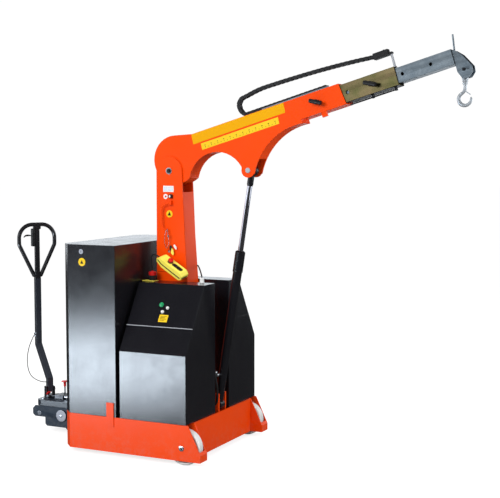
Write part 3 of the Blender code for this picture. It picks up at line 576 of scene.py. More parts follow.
# Many plain-sided bars in one mesh; each row holds a bar's low corner and high corner
def bars(name, rows, look, body, place=identity, edge=0.0003):
    rows = np.asarray(rows, float).reshape(-1, 2, 3)
    pick = np.array([(0, 0, 0), (1, 0, 0), (1, 1, 0), (0, 1, 0),
                     (0, 0, 1), (1, 0, 1), (1, 1, 1), (0, 1, 1)])
    points = rows[:, pick, np.arange(3)].reshape(-1, 3)
    sides = np.array([(0, 3, 2, 1), (4, 5, 6, 7), (0, 1, 5, 4), (1, 2, 6, 5), (2, 3, 7, 6),
                      (3, 0, 4, 7)])
    faces = (np.arange(len(rows))[:, None, None] * 8 + sides).reshape(-1, 4).tolist()
    piece = addMesh(name, points, faces, look, body, place, smooth=False, closed=False)
    return bevelled(piece, edge, 1) if edge else piece


def disc(name, place, axis, radius, height, look, body, frameMatrix=identity, sides=32, cut=0.0004):
    profile = [(0, height), (radius, height), (radius, 0), (0, 0)]
    return turned(name, profile, look, body, place, axis, sides, cut, frameMatrix)


def washer(name, place, axis, inner, outer, height, look, body, frameMatrix=identity):
    profile = [(inner, height), (outer, height), (outer, 0), (inner, 0), (inner, height)]
    return turned(name, profile, look, body, place, axis, 32, 0.0004, frameMatrix)


# A cord of its route's own length, swept along the smoothed route
def cordPiece(name, route, radius, look, body, place=identity, reference=(0, 1, 0),
              stiffness="medium"):
    path = smoothRoute(route, 10)
    piece = sweep(name, path, radius, look, body, place, 12, reference=reference)
    return piece


# Boom: scale strips and chain
strips = {"face": 0.0563, "thick": 0.0007, "tickStep": 0.0205}


def addBoomStrips(sizes):
    amber = [(0.191, 0.101), (0.785, 0.104), (0.788, 0.1585), (0.194, 0.1585)]
    lemon = [(0.237, 0.055), (0.734, 0.0565), (0.736, 0.094), (0.238, 0.092)]
    along = np.arange(0.262, 0.722, sizes["tickStep"])
    tall = np.where(np.arange(len(along)) % 2 == 0, 0.009, 0.005)
    digits = along[::2]
    for side, sign in bothSides:
        levels = sorted((sign * sizes["face"], sign * (sizes["face"] + sizes["thick"])))
        slab("amber_strip_" + side, amber, *levels, "amber", *onBoom, edge=0.0002)
        slab("scale_strip_" + side, lemon, *levels, "lemon", *onBoom, edge=0.0002)
        levels = sorted((sign * (sizes["face"] + 0.0006), sign * (sizes["face"] + 0.0010)))
        ticks = [((s - 0.0009, levels[0], 0.0625), (s + 0.0009, levels[1], 0.0625 + h))
                 for s, h in zip(along, tall)]
        ticks += [((s - 0.0035, levels[0], 0.0755), (s + 0.0035, levels[1], 0.0785))
                  for s in digits]
        bars("scale_ticks_" + side, ticks, "ink", *onBoom, 0)


chain = {"pitch": 0.0285, "height": 0.0205, "plate": 0.0032, "half": 0.0178, "bar": 0.0022}


# One link outline repeated at even steps along the route and turned to lie along it
def chainRun(name, route, sizes):
    route = np.asarray(route, float)
    steps = np.linalg.norm(np.diff(route, axis=0), axis=1)
    reach = np.concatenate([[0], np.cumsum(steps)])
    count = max(2, int(round(reach[-1] / sizes["pitch"])))
    pitch = reach[-1] / count
    middle = (np.arange(count) + 0.5) * pitch
    centre = np.stack([np.interp(middle, reach, route[:, k]) for k in (0, 1)], -1)
    ahead = np.stack([np.interp(middle + 0.3 * pitch, reach, route[:, k]) for k in (0, 1)], -1)
    behind = np.stack([np.interp(middle - 0.3 * pitch, reach, route[:, k]) for k in (0, 1)], -1)
    way = unit(ahead - behind)
    rise = np.stack([-way[:, 1], way[:, 0]], -1)
    tall = sizes["height"] / 2
    end = pitch * 0.56
    outline = np.vstack([arc((end - tall * 0.8, 0), tall, -62, 62, 6),
                         arc((-end + tall * 0.8, 0), tall, 118, 242, 6)])
    outline[:, 0] = np.clip(outline[:, 0], -end, end)
    corners = []
    faces = []
    start = 0
    half = sizes["half"]
    shapes = [(outline, -half, -half + sizes["plate"]), (outline, half - sizes["plate"], half)]
    for sign in (-1, 1):
        bar = np.array(rectangle((-end * 0.42, sign * tall * 0.97),
                                 (end * 0.42, sign * (tall - sizes["bar"]))))
        shapes.append((bar, -half + 0.001, half - 0.001))
    for shape, low, high in shapes:
        flat = (centre[:, None, :] + shape[None, :, :1] * way[:, None, :]
                + shape[None, :, 1:] * rise[:, None, :])
        size = len(shape)
        levels = [np.insert(flat, 1, level, -1) for level in (low, high)]
        corners.append(np.stack(levels, 1).reshape(-1, 3))
        ring = np.array(gridFaces(2, size, caps=False))
        offsets = start + np.arange(count) * 2 * size
        faces += (offsets[:, None, None] + ring).reshape(-1, 4).tolist()
        cap = np.arange(size)
        faces += (offsets[:, None] + cap[::-1]).tolist()
        faces += (offsets[:, None] + size + cap).tolist()
        start += count * 2 * size
    piece = addMesh(name, np.vstack(corners), faces, "plastic", None, boomFrame)
    return bevelled(piece, 0.0006, 1)


def addChain(sizes):
    upper = smoothRoute([(0.5500, 0.2685), (0.650, 0.2815), (0.750, 0.2810), (0.900, 0.2755),
                         (1.050, 0.2670), (1.200, 0.2545), (1.3330, 0.2400)], 8)
    turn = smoothRoute([(0.5500, 0.2685), (0.5300, 0.2640), (0.5100, 0.2450), (0.5050, 0.2220),
                        (0.5110, 0.1960), (0.5260, 0.1785), (0.5400, 0.1733)], 6)
    low = turn[-1, 1]
    lower = [(0.5400, low), (1.039, low)]
    moving = chainRun("chain_moving_links", upper, sizes)
    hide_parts("chain_moving_run")
    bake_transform(moving)
    fixed = chainRun("chain_fixed_links", lower, sizes)
    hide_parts("chain_fixed_run")
    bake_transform(fixed)
    bend = chainRun("chain_bend_links", turn, sizes)
    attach(bend, "chain_loop")
    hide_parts("chain_bend")


def addChainBracket():
    refined("chain_bracket", "plastic", 0.0018)
    # A thin blackened-steel sheet along the underside of the middle stage: painted shade on that
    # underside
    block("middle_underside_shade", (0.702, -0.0465, 0.0505), (1.436, 0.0465, 0.0509), "dark", *onMiddle, 0)
    hexHead("chain_bolt", (1.392, 0, 0.2563), up, 0.010, 0.0045, "steel", *onMiddle)
    disc("chain_post", (1.4290, 0, 0.1520), up, 0.0068, 0.0735, "paleGrey", *onMiddle, 20, 0.0008)
    washer("chain_post_foot", (1.4290, 0, 0.1515), up, 0.0060, 0.011, 0.003, "steel", *onMiddle)


# Clamping screws with cross bars
locks = {"stem": 0.0075, "reach": 0.034, "bar": 0.036, "lean": radians(27), "grip": 0.0122}


def addLock(node, along, face, body, sizes):
    far = face - sizes["reach"]
    stem = [(0, 0.038), (0.0125, 0.038), (0.0140, 0.034), (0.0140, 0.027), (sizes["stem"], 0.024),
            (sizes["stem"], 0.0035), (0.0135, 0.0035), (0.0135, 0), (0, 0)]
    screw = turned(node + "_stem", stem, "plastic", body, (along, face, boomAxis), (0, -1, 0), 28,
                   0.0008, boomFrame)
    reach = np.linspace(-1, 1, 25)
    swell = sizes["grip"] * (0.92 + 0.08 * np.abs(reach) ** 1.5)
    swell[[0, -1]] *= 0.80
    swell[[1, -2]] *= 0.97
    reach = reach * sizes["bar"]
    route = np.stack([along + cos(sizes["lean"]) * reach, np.full(25, far),
                      boomAxis - sin(sizes["lean"]) * reach], -1)
    sweep(node + "_bar", route, swell, "plastic", body, boomFrame, 20)
    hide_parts(node)


# Hook
hookSizes = {"centre": -0.150, "bend": 0.0325, "wire": 0.0096}


def addLoadHook(sizes):
    hang = Matrix.Translation(hookPin)
    bend = arc((0, sizes["centre"]), sizes["bend"], 118, 378, 40)
    start = smoothRoute([(0, -0.058), (0, -0.080), (0, -0.098), (-0.006, -0.112),
                         tuple(bend[0])], 6)
    path = np.vstack([start[:-1], bend])
    share = np.linspace(0, 1, len(path))
    swell = np.interp(share, [0, 0.2, 0.32, 0.62, 0.85, 0.97, 1],
                      [0.92, 0.92, 0.80, 1.12, 0.85, 0.62, 0.30]) * sizes["wire"]
    route = np.stack([path[:, 0], np.zeros(len(path)), path[:, 1]], -1)
    hook = sweep("hook_body", route, swell, "bright", "hook", hang, 24)
    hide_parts("load_hook")
    collar = [(0, -0.0525), (0.0135, -0.0525), (0.0155, -0.0545), (0.0155, -0.0600),
              (0.0120, -0.0635), (0.0120, -0.0660), (0.0140, -0.0675), (0.0140, -0.0730),
              (0.0100, -0.0760), (0, -0.0760)]
    turned("hook_collar", collar, "bright", "hook", (0, 0, 0), up, 32, 0.0008, hang)
    refined("hook_latch", "bright", 0.0008)
    for side, sign in bothSides:
        washer("shackle_washer_" + side, (0, sign * 0.0245, 0), (0, sign, 0), 0.0084, 0.0150,
               0.0035, "bright", "inner", hang)
        hexHead("hook_pin_head_" + side, (0, sign * 0.0305, 0), (0, sign, 0), 0.016, 0.0075,
                "dark", "inner", hang)


# Wheels
wheelSizes = {"radius": 0.1, "half": 0.025, "hub": 0.030, "web": 0.012}


def mirrored(rim):
    return [(radius, -height) for radius, height in reversed(rim)]


def addFrontWheel(node, centre, side, body, sizes):
    outer, half, hub, web = (sizes[key] for key in ("radius", "half", "hub", "web"))
    rim = [(0.0124, half), (hub - 0.004, half), (hub, half - 0.003), (hub + 0.003, web),
           (outer - 0.020, web), (outer - 0.014, half - 0.001), (outer - 0.006, half - 0.001),
           (outer - 0.0006, half - 0.007)]
    profile = [*rim, (outer, 0), *mirrored(rim), rim[0]]
    wheel = turned(node + "_tyre", profile, "nylon", body, centre, (0, side, 0), 96, 0.0022)
    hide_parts(node)
    cap = [(0.0130, 0.0305), (0.0215, 0.0305), (0.0225, 0.0290), (0.0225, 0.0255),
           (0.0130, 0.0255), (0.0130, 0.0305)]
    for sign in (-1, 1):
        turned(node + "_bearing_" + ("in" if sign < 0 else "out"), cap, "steel", body, centre,
               (0, side * sign, 0), 36, 0.0006)


def addAxle(node, centre, side):
    face = centre + Vector((0, side * 0.0478, 0))
    bolt = hexHead(node + "_head", face + Vector((0, side * 0.0014, 0)), (0, side, 0), 0.0135,
                   0.0036, "dark", "chassis")
    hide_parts(node)
    washer(node + "_washer", face, (0, side, 0), 0.0060, 0.0150, 0.0014, "steel", "chassis")
    disc(node + "_shank", centre - Vector((0, side * 0.037, 0)), (0, side, 0), 0.0117, 0.084,
         "steel", "chassis", identity, 24, 0.0006)


rearWheel = {"radius": 0.070}


def addRearWheel(sizes):
    centre = Vector(joints["rear_wheel_roll"]["pos_m"])
    outer = sizes["radius"]
    rim = [(0, 0.0325), (0.0110, 0.0325), (0.0120, 0.0280), (0.030, 0.0260), (0.034, 0.0200),
           (0.046, 0.0200), (0.050, 0.0275), (outer - 0.004, 0.0275), (outer, 0.0225)]
    way = tillerFrame.to_3x3() @ Vector((0, -1, 0))
    wheel = turned("drive_tyre", rim + mirrored(rim), "rubber", "rear_wheel", centre, way, 64,
                   0.0015)
    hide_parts("drive_wheel")


# Luffing ram
ram = {"rod": 0.0155, "ball": 0.0165, "collar": 0.0185, "eye": 0.032}


def addRam(sizes):
    foot = Vector((0.310 - originX, 0, 0.260))
    line = lobePin - foot
    length = line.length
    along = Matrix.Translation(foot) @ Matrix.Rotation(atan2(line.x, line.z), 4, "Y")
    rod = disc("ram_rod_bar", (0, 0, 0.430), up, sizes["rod"], length - 0.470, "rod",
               "ram_rod", along, 48, 0.0006)
    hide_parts("cylinder_rod")
    neck = [(0, 0.062), (0.012, 0.062), (sizes["collar"], 0.058), (sizes["collar"], 0.008),
            (0.0160, 0.003), (0.0160, 0), (0, 0)]
    turned("ram_rod_neck", neck, "black", "ram_rod", (0, 0, length - 0.088), up, 40, 0.0010, along)
    washer("ram_rod_eye", lobePin + Vector((0, 0.0235, 0)), (0, -1, 0), 0.0155, sizes["eye"],
           0.047, "black", "ram_rod")
    refined("cylinder_barrel", "black", 0.0012)
    gland = [(0.0162, 0.006), (0.0200, 0.006), (0.0235, 0.003), (0.0270, 0.0015), (0.0270, 0),
             (0.0162, 0), (0.0162, 0.006)]
    turned("ram_gland", gland, "dark", "ram_barrel", (0, 0, 0.8982), up, 40, 0.0006, along)
    washer("ram_weld", (0, 0, 0.781), up, 0.0262, 0.0285, 0.0035, "black", "ram_barrel", along)
    port = [(0, 0.014), (0.0070, 0.014), (0.0105, 0.011), (0.0125, 0.006), (0.0125, 0), (0, 0)]
    place = along @ Vector((-0.006, -0.0585, 0.184))
    turned("ram_port", port, "chrome", "ram_barrel", place, (-0.1, -1, 0.06), 28, 0.0008)
    hexHead("ram_port_nut", place + Vector((0.0010, 0.012, 0)), (-0.1, -1, 0.06), 0.021, 0.010,
            "chrome", "ram_barrel")
    turn = np.linspace(0, pi, 15)
    ball = np.stack([sizes["ball"] * np.sin(turn), sizes["ball"] * np.cos(turn)], -1)
    turned("ram_port_ball", ball.tolist(), "chrome", "ram_barrel",
           along @ Vector((-0.0185, -0.0690, 0.1960)), (-0.1, -1, 0.06), 32, 0)
    start = place + Vector((-0.0012, -0.012, 0.001))
    route = [start + Vector(step) for step in (
        (0, 0, 0), (-0.002, -0.008, -0.006), (0.002, -0.006, -0.03), (0.004, 0.006, -0.085),
        (-0.006, 0.022, -0.150), (-0.030, 0.036, -0.205), (-0.060, 0.044, -0.260))]
    cordPiece("ram_hose", route, 0.0062, "rubber", "ram_barrel", reference=(1, 0, 0))


# Mast fittings and labels
mastFace = -0.0661
mastLabels = {"thick": 0.0006}


def faceDisc(name, x, z, radius, look, face=mastFace, height=0.0012):
    disc(name, (x, face, z), (0, -1, 0), radius, height, look, *onBase)


def addMastFittings(sizes):
    thick = sizes["thick"]
    label = rectangle((-0.0105, 1.481), (0.0585, 1.516))
    slab("data_plate", label, mastFace - thick, mastFace, "white", *onBase, edge=0.0003)
    fieldFace = mastFace - thick
    rows = [((left, fieldFace - 0.0003, low), (right, fieldFace + 0.0001, high))
            for left, right, low, high in ((-0.006, 0.018, 1.486, 1.511),
                                           (0.022, 0.054, 1.502, 1.511),
                                           (0.022, 0.054, 1.487, 1.498))]
    bars("data_plate_fields", rows, "plate", *onBase, 0)
    faceDisc("round_label", 0.006, 1.455, 0.0145, "white")
    faceDisc("round_label_mark", 0.006, 1.455, 0.0060, "red", mastFace - 0.0011, 0.0004)
    knob = [(0, 0.020), (0.0085, 0.020), (0.0115, 0.017), (0.0125, 0.012), (0.0110, 0.004),
            (0.0120, 0), (0, 0)]
    turned("mast_knob", knob, "plastic", "chassis", (0.043, mastFace, 1.457), (0, -1, 0), 28,
           0.0010, machine)
    disc("mast_knob_face", (0.043, mastFace - 0.0198, 1.457), (0, -1, 0), 0.0060, 0.0006, "white",
         *onBase, 20, 0.0002)
    faceDisc("warning_disc", 0.030, 1.355, 0.0205, "lemon")
    sign = [(0.030 - 0.0115, 1.3460), (0.030 + 0.0115, 1.3460), (0.030, 1.3690)]
    slab("warning_sign", sign, mastFace - 0.0016, mastFace - 0.0011, "ink", *onBase, edge=0)
    refined("pendant_hanger", "orange", 0.0006)
    pinHead = [(0, 0.0085), (0.0105, 0.0085), (0.0125, 0.0065), (0.0125, 0), (0, 0)]
    for side, sign in bothSides:
        place = (0.028, sign * 0.0665, 1.601)
        washer("pivot_washer_" + side, place, (0, sign, 0), 0.0118, 0.0195, 0.0020, "steel",
               *onBase)
        turned("pivot_head_" + side, pinHead, "dark", "chassis",
               (0.028, sign * 0.0675, 1.601), (0, sign, 0), 28, 0.0008, machine)
    cap = [(0, 0.0290), (0.0095, 0.0290), (0.0120, 0.0265), (0.0120, 0.0060), (0.0140, 0.0050),
           (0.0140, 0), (0, 0)]
    turned("foot_fitting", cap, "white", "chassis", (0.258, -0.100, 0.9712), up, 32, 0.0010,
           machine)
    route = [machine @ Vector(point) for point in (
        (0.1480, 0.050, 1.052), (0.1620, 0.034, 1.052), (0.2000, -0.022, 1.044),
        (0.2370, -0.074, 1.026), (0.2555, -0.098, 1.009), (0.2580, -0.100, 0.9990))]
    cordPiece("foot_hose", route, 0.0040, "rubber", "chassis")
    bars("mast_seam", [((-0.048, mastFace - 0.0008, 1.0192), (0.100, mastFace, 1.0208))],
         "black", *onBase, 0)


# Steel wire sling, clip and tag that hang on the mast's hook rod
sling = {"wire": 0.0016}


def addSling(sizes):
    out = mastFace - 0.0210
    loop = [(0.0265, out, 1.2720), (0.0290, out - 0.001, 1.2600), (0.0335, out, 1.225),
            (0.0330, out + 0.004, 1.190), (0.0260, out + 0.006, 1.166),
            (0.0175, out + 0.006, 1.160), (0.0105, out + 0.006, 1.172),
            (0.0065, out + 0.004, 1.200), (0.0120, out, 1.235), (0.0200, out - 0.002, 1.262)]
    cordPiece("wire_sling", loop, sizes["wire"], "steel", *onBase)
    clip = [(0.0, 0.013), (0.004, 0.013), (0.0055, 0.010), (0.0055, 0.001), (0.004, 0), (0, 0)]
    turned("sling_ferrule", clip, "steel", "chassis", (0.0335, out, 1.222), (0.05, 0, 1), 20,
           0.0006, machine)
    tag = [(0.046, 1.132), (0.060, 1.118), (0.066, 1.126), (0.062, 1.150), (0.052, 1.160)]
    strap = [(0.036, 1.150), (0.050, 1.138), (0.056, 1.150), (0.046, 1.176), (0.036, 1.172)]
    buckle = [(0.062, 1.174), (0.070, 1.182), (0.083, 1.166), (0.084, 1.154), (0.078, 1.152)]
    small = [(0.030, 1.140), (0.040, 1.132), (0.045, 1.140), (0.036, 1.150)]
    for name, outline, low, high, look, edge in (
            ("yellow_tag", tag, 0.004, 0.009, "yellow", 0.0012),
            ("black_strap", strap, 0.008, 0.014, "plastic", 0.0012),
            ("buckle", buckle, 0.004, 0.010, "white", 0.0012),
            ("sling_shackle", small, -0.002, 0.003, "steel", 0.0010)):
        slab(name, outline, out + low, out + high, look, *onBase, edge=edge)


# Covers
coverMarks = {"face": -0.4361}


def slantY(height):
    low, high = (0.4355, 0.608), (0.217, 0.971)
    return low[0] + (high[0] - low[0]) * (height - low[1]) / (high[1] - low[1])


slantNormal = Vector((0, -0.363, 0.2185)).normalized()


def slantPlace(x, z):
    return Vector((x, -slantY(z), z)) + slantNormal * 0.0004


def addCoverMarks(sizes):
    face = sizes["face"]
    faceDisc("tower_lock", -0.329, 1.153, 0.0140, "grey", face, 0.0030)
    # A black bar on the lock's face stands for its key slot: painted shade in the slot
    bars("tower_lock_slot_shade", [((-0.3302, face - 0.0036, 1.147), (-0.3278, face - 0.0029, 1.159))],
         "ink", *onBase, 0)
    faceDisc("tower_warning", -0.325, 1.094, 0.0235, "lemon", face, 0.0010)
    sign = [(-0.3355, 1.0850), (-0.3145, 1.0850), (-0.325, 1.1060)]
    slab("tower_sign", sign, face - 0.0014, face - 0.0009, "ink", *onBase, edge=0)
    lamp = [(0, 0.0135), (0.0050, 0.0128), (0.0092, 0.0095), (0.0105, 0.0050), (0.0105, 0), (0, 0)]
    place = slantPlace(0.102, 0.858)
    turned("lamp_lens", lamp, "green", "chassis", place, slantNormal, 32, 0.0010, machine)
    washer("lamp_ring", place, slantNormal, 0.0105, 0.0138, 0.0045, "green", *onBase)
    for node, x, z, body in (("panel_switch_a", 0.146, 0.843, "switch_a"),
                             ("panel_switch_b", 0.120, 0.822, "switch_b")):
        place = slantPlace(x, z)
        profile = [(0, 0.0115), (0.0055, 0.0115), (0.0068, 0.0100), (0.0080, 0.0050),
                   (0.0095, 0.0040), (0.0095, 0), (0, 0)]
        switch = turned(node + "_knob", profile, "white", body, place, slantNormal, 28, 0.0008,
                        machine)
        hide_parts(node)
    tangent = Vector((1, 0, 0))
    rise = slantNormal.cross(tangent)
    centre = slantPlace(0.135, 0.789)
    plateFrame = machine @ Matrix.Translation(centre) @ Matrix(
        (tangent, rise, slantNormal)).transposed().to_4x4()
    slab("lid_plate", rectangle((-0.028, -0.022), (0.028, 0.022)), 0, 0.0008, "lemon", "chassis",
         plateFrame, "plan", 0.0003)
    rows = [((-0.021, y, 0.0007), (right, y + 0.0026, 0.0011))
            for y, right in ((0.011, 0.019), (0.003, 0.012), (-0.005, 0.020), (-0.013, 0.008))]
    bars("lid_plate_lines", rows, "ink", "chassis", plateFrame, 0)


# Folded lower edge of each lid: a pale grey strip along the front of the fold, a painted highlight
# where the lip catches the light
def addLidEdges():
    y = slantY(0.744)
    for side, sign in bothSides:
        route = [(-0.084, sign * (y + 0.0006), 0.7448), (0.333, sign * (y + 0.0006), 0.7448)]
        sweep("lid_fold_highlight_" + side, np.linspace(*np.array(route), 12), 0.0021, "paleGrey", *onBase, 12,
              reference=up)


# Pendant control
pendantSlope = radians(30.0)
pendantPlace = Vector((0.018, -0.122, 1.0895))
pendantAlong = Vector((cos(pendantSlope), -0.10, -sin(pendantSlope))).normalized()
pendantKeys = Vector((0.15, -0.30, 0.94))
pendantKeys = (pendantKeys - pendantAlong * pendantKeys.dot(pendantAlong)).normalized()
pendantAcross = pendantKeys.cross(pendantAlong)
pendantFrame = machine @ Matrix.Translation(pendantPlace) @ Matrix(
    (pendantAlong, pendantAcross, pendantKeys)).transposed().to_4x4()
onCase = ("chassis", pendantFrame)
pendant = {"half": 0.0308, "top": 0.026}


def addPendant(sizes):
    refined("pendant_case", "yellow", 0.0075, 4)
    half = sizes["half"]
    # the rubber seal runs round the case at mid height, and dips at the cable end
    top = [(-0.0225, 0.010), (-0.016, 0.009), (0.004, 0.003), (0.020, -0.001), (0.090, -0.003),
           (0.160, -0.004), (0.1725, 0.000)]
    for side, sign in (("near", 1), ("far", -1)):
        route = [(x, sign * half, z) for x, z in top[1:-1]]
        sweep("case_seal_" + side, smoothRoute(route, 4), 0.0034, "rubber", *onCase, 8,
              reference=(0, 1, 0))
    nose = [(0.160, half - 0.0005, -0.004), (0.1695, half - 0.007, -0.004), (0.1722, 0, -0.004),
            (0.1695, -half + 0.007, -0.004), (0.160, -half + 0.0005, -0.004)]
    sweep("case_seal_nose", smoothRoute(nose, 6), 0.0032, "rubber", *onCase, 8, reference=up)
    deck = sizes["top"]
    outline = np.vstack([arc((0.133, 0), 0.0130, -90, 90, 8), arc((0.083, 0), 0.0130, 90, 270, 8)])
    slab("key_surround", outline, deck - 0.0015, deck + 0.0012, "plastic", *onCase, "plan", 0.0005)
    washer("stop_surround", (0.052, 0, deck - 0.001), up, 0.0100, 0.0165, 0.003, "plastic", *onCase)
    stop = [(0, 0.0205), (0.0090, 0.0200), (0.0145, 0.0180), (0.0160, 0.0140), (0.0150, 0.0090),
            (0.0090, 0.0080), (0.0090, -0.005), (0, -0.005)]
    button = turned("stop_mushroom", stop, "red", "stop_button", (0.052, 0, deck), up, 40,
                    0.0012, pendantFrame)
    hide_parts("pendant_stop")
    key = [(0, 0.0065), (0.0055, 0.0062), (0.0072, 0.0050), (0.0080, 0.0025), (0.0080, -0.003),
           (0, -0.003)]
    for index in range(3):
        cap = turned("key_cap_%d" % (index + 1), key, "plastic", "key_%d" % (index + 1),
                     (0.085 + 0.023 * index, 0, deck + 0.0013), up, 28, 0.0008, pendantFrame)
        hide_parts("pendant_key_%d" % (index + 1))
    gland = [(0, 0.014), (0.0048, 0.014), (0.0060, 0.010), (0.0070, 0.002), (0.0085, 0), (0, 0)]
    turned("case_gland", gland, "rubber", "chassis", (-0.0225, 0, 0.0040), (-1, 0, 0), 24, 0.0008,
           pendantFrame)
    start = pendantFrame @ Vector((-0.0250, 0.0, 0.0040))
    away = -(pendantFrame.to_3x3() @ Vector((1, 0, 0)))
    socket = (-0.050, -0.125, 0.971 + 0.0568)
    route = [start + away * 0.0010, start + away * 0.020]
    route += [machine @ Vector(point) for point in (
        (-0.032, -0.126, 1.122), (-0.045, -0.127, 1.122), (-0.053, -0.128, 1.105),
        (-0.0535, -0.127, 1.075), (-0.051, -0.1255, 1.052), socket)]
    cable = cordPiece("pendant_lead", route, 0.0040, "rubber", "chassis")
    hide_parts("pendant_cable")
    base = (*socket[:2], 0.9714)
    body = [(0, 0.031), (0.0185, 0.031), (0.0185, 0.020), (0.0195, 0.016), (0.0195, 0.004),
            (0.0185, 0.002), (0.0185, 0), (0, 0)]
    nipple = turned("lead_socket", body, "plastic", "chassis", base, up, 32, 0.0010, machine)
    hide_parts("pendant_socket")
    plug = [(0, 0.0585), (0.0055, 0.0585), (0.0062, 0.0540), (0.0200, 0.0530), (0.0228, 0.0500),
            (0.0228, 0.0340), (0.0200, 0.0312), (0, 0.0312)]
    turned("lead_plug", plug, "red", "chassis", base, up, 32, 0.0010, machine)
    block("lead_plate", (-0.101, -0.158, 0.9712), (-0.020, -0.108, 0.9745), "yellow", *onBase,
          0.0008)


# Tiller head
head = {"top": 1.2575, "wide": 0.1155, "low": 0.930, "tube": 0.01245, "back": -0.200}


def addTillerHead(sizes):
    top, wide, low, back = (sizes[key] for key in ("top", "wide", "low", "back"))
    half = np.vstack([[(0.0, top)], arc((wide - 0.085, top - 0.085), 0.085, 90, 0, 14),
                      [(wide, 1.158)], arc((wide - 0.060, 1.145), 0.060, 0, -30, 6)[1:],
                      arc((0.0, low + 0.030), 0.030, -30, -90, 6)])
    loop = np.vstack([half, (half * (-1, 1))[-2:0:-1]])
    route = np.stack([np.full(len(loop), back), loop[:, 0], loop[:, 1]], -1)
    dense = smoothRoute(route, 4, closed=True)
    grip = sweep("grip_loop", dense, sizes["tube"], "gloss", *onTiller, 20, True,
                 reference=(1, 0, 0))
    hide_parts("tiller_loop")
    block("grip_column", (back - 0.0115, -0.015, 0.936), (back + 0.0115, 0.015, top - 0.004),
          "gloss", *onTiller, 0.0035, 3)
    block("grip_foot", (back - 0.0150, -0.019, 0.905), (back + 0.0150, 0.019, 0.960), "gloss",
          *onTiller, 0.0050, 3)
    block("grip_crown", (back - 0.0130, -0.024, top - 0.030), (back + 0.0130, 0.024, top - 0.006),
          "gloss", *onTiller, 0.0060, 3)
    refined("lever_housing", "plastic", 0.0050, 3)
    route = smoothRoute([(back, -0.0385, 1.188), (back, -0.055, 1.190), (back, -0.074, 1.188),
                         (back, -0.086, 1.178)], 8)
    share = np.linspace(0, 1, len(route))
    swell = 0.0036 + 0.0022 * np.sin(pi * np.clip(share * 1.1, 0, 1)) ** 2
    swell[-1] *= 0.45
    lever = sweep("squeeze_lever", route, swell, "gloss", "lever", tillerFrame, 16,
                  reference=(1, 0, 0))
    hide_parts("hand_lever")
    cable = [(back - 0.010, -0.0202, 0.560), (back - 0.014, -0.034, 0.535),
             (back - 0.012, -0.058, 0.480), (back + 0.010, -0.078, 0.415),
             (back + 0.055, -0.088, 0.355), (back + 0.105, -0.084, 0.318),
             (back + 0.150, -0.066, 0.300), (back + 0.184, -0.044, 0.292),
             (back + 0.200, -0.0204, 0.2905)]
    wire = cordPiece("control_cable", cable, 0.0025, "rubber", *onTiller, (0.6, 0.6, 0.5), "stiff")
    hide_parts("brake_cable")
    block("cable_clip", (back - 0.0170, -0.0225, 0.548), (back + 0.006, -0.0176, 0.572), "steel",
          *onTiller, 0.0008)
    wedge = [(0.0215, 0.2145), (0.0300, 0.2145), (0.0520, 0.2330), (0.0490, 0.2400),
             (0.0215, 0.2250)]
    slab("foot_wedge", wedge, -0.0300, -0.0120, "red", "yoke", tillerFrame, edge=0.0018)
    for side, sign in bothSides:
        hexHead("tilt_bolt_" + side, (0, sign * 0.0312, 0.245), (0, sign, 0), 0.012, 0.005,
                "steel", "yoke", tillerFrame)


# Rear unit
rear = {"axle": (-0.708, 0.113), "lug": (-0.875, 0.113)}


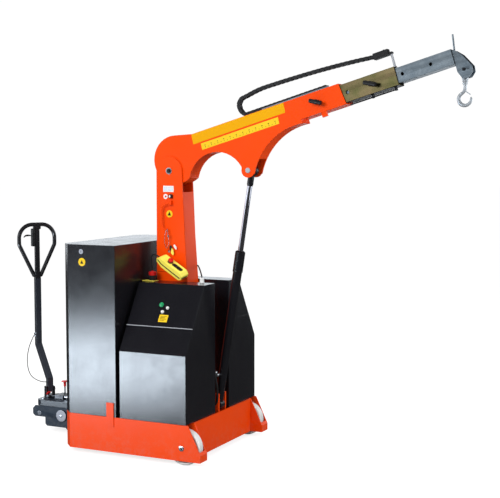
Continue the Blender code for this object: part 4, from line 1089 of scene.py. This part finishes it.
def addRearUnit(sizes):
    x, z = sizes["axle"]
    for side, sign in bothSides:
        place = (x, sign * 0.1095, z)
        washer("flange_ring_" + side, place, (0, sign, 0), 0.0245, 0.0350, 0.0035, "grey", *onBase)
        disc("flange_well_" + side, place, (0, sign, 0), 0.0245, 0.0008, "ink", *onBase)
        hexHead("flange_bolt_" + side, place, (0, sign, 0), 0.016, 0.0070, "steel", *onBase)
        lug = (sizes["lug"][0], sign * 0.1003, sizes["lug"][1])
        washer("lug_bush_" + side, lug, (0, sign, 0), 0.0095, 0.0150, 0.0030, "dark", *onBase)
    for row, (bx, by) in enumerate(((-0.860, -0.078), (-0.860, 0.078), (-0.520, -0.078),
                                    (-0.520, 0.078))):
        hexHead("plate_bolt_%d" % row, (bx, by, 0.1973), up, 0.0130, 0.0065, "steel", *onBase)
    valve = [(0, 0.050), (0.0090, 0.050), (0.0110, 0.046), (0.0110, 0.006), (0.0130, 0.004),
             (0.0130, 0), (0, 0)]
    turned("valve_body", valve, "steel", "chassis", (-0.738, -0.024, 0.2105), (1, 0, 0), 28,
           0.0010, machine)
    knob = [(0, 0.302), (0.0170, 0.3014), (0.0215, 0.2990), (0.0215, 0.2945), (0.0085, 0.2905),
            (0.0074, 0.2640), (0.0056, 0.2640), (0.0056, 0.2750), (0, 0.2750)]
    red = turned("release_mushroom", knob, "red", "release_knob", (-0.772, 0.025, 0), up,
                 36, 0.0012, machine)
    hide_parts("brake_release_knob")
    hose = [(-0.798, -0.010, 0.2120), (-0.812, -0.004, 0.2160), (-0.826, 0.016, 0.2120),
            (-0.822, 0.042, 0.2070), (-0.790, 0.060, 0.2050), (-0.740, 0.064, 0.2050),
            (-0.690, 0.060, 0.2050)]
    cordPiece("rear_hose", hose, 0.0060, "rubber", *onBase, up)


# Rivets in the straps that hold the covers to the base
def addBaseTrim():
    for side, sign in bothSides:
        for row, z in enumerate((0.205, 0.245)):
            place = (-0.1465, sign * 0.4415, z)
            disc("strap_rivet_%s_%d" % (side, row), place, (0, sign, 0), 0.0052, 0.0018, "orange",
                 *onBase, 20, 0.0009)


addBoomStrips(strips)
addChain(chain)
addChainBracket()
addLock("boom_lock", 0.982, -0.0563, "boom_clamp", locks)
addLock("middle_lock", 1.298, -0.0483, "middle_clamp", locks)
print("boom trims done")
addLoadHook(hookSizes)
for (side, sign), centre in zip(bothSides, wheelCentres):
    addFrontWheel("front_wheel_" + side, centre, sign, side + "_wheel", wheelSizes)
    addAxle("front_axle_" + side, centre, sign)
addRearWheel(rearWheel)
addRam(ram)
print("hook, wheels and ram done")
addMastFittings(mastLabels)
addSling(sling)
addCoverMarks(coverMarks)
addLidEdges()
addPendant(pendant)
print("mast fittings, covers and pendant done")
addTillerHead(head)
addRearUnit(rear)
addBaseTrim()
print("tiller and rear unit done")
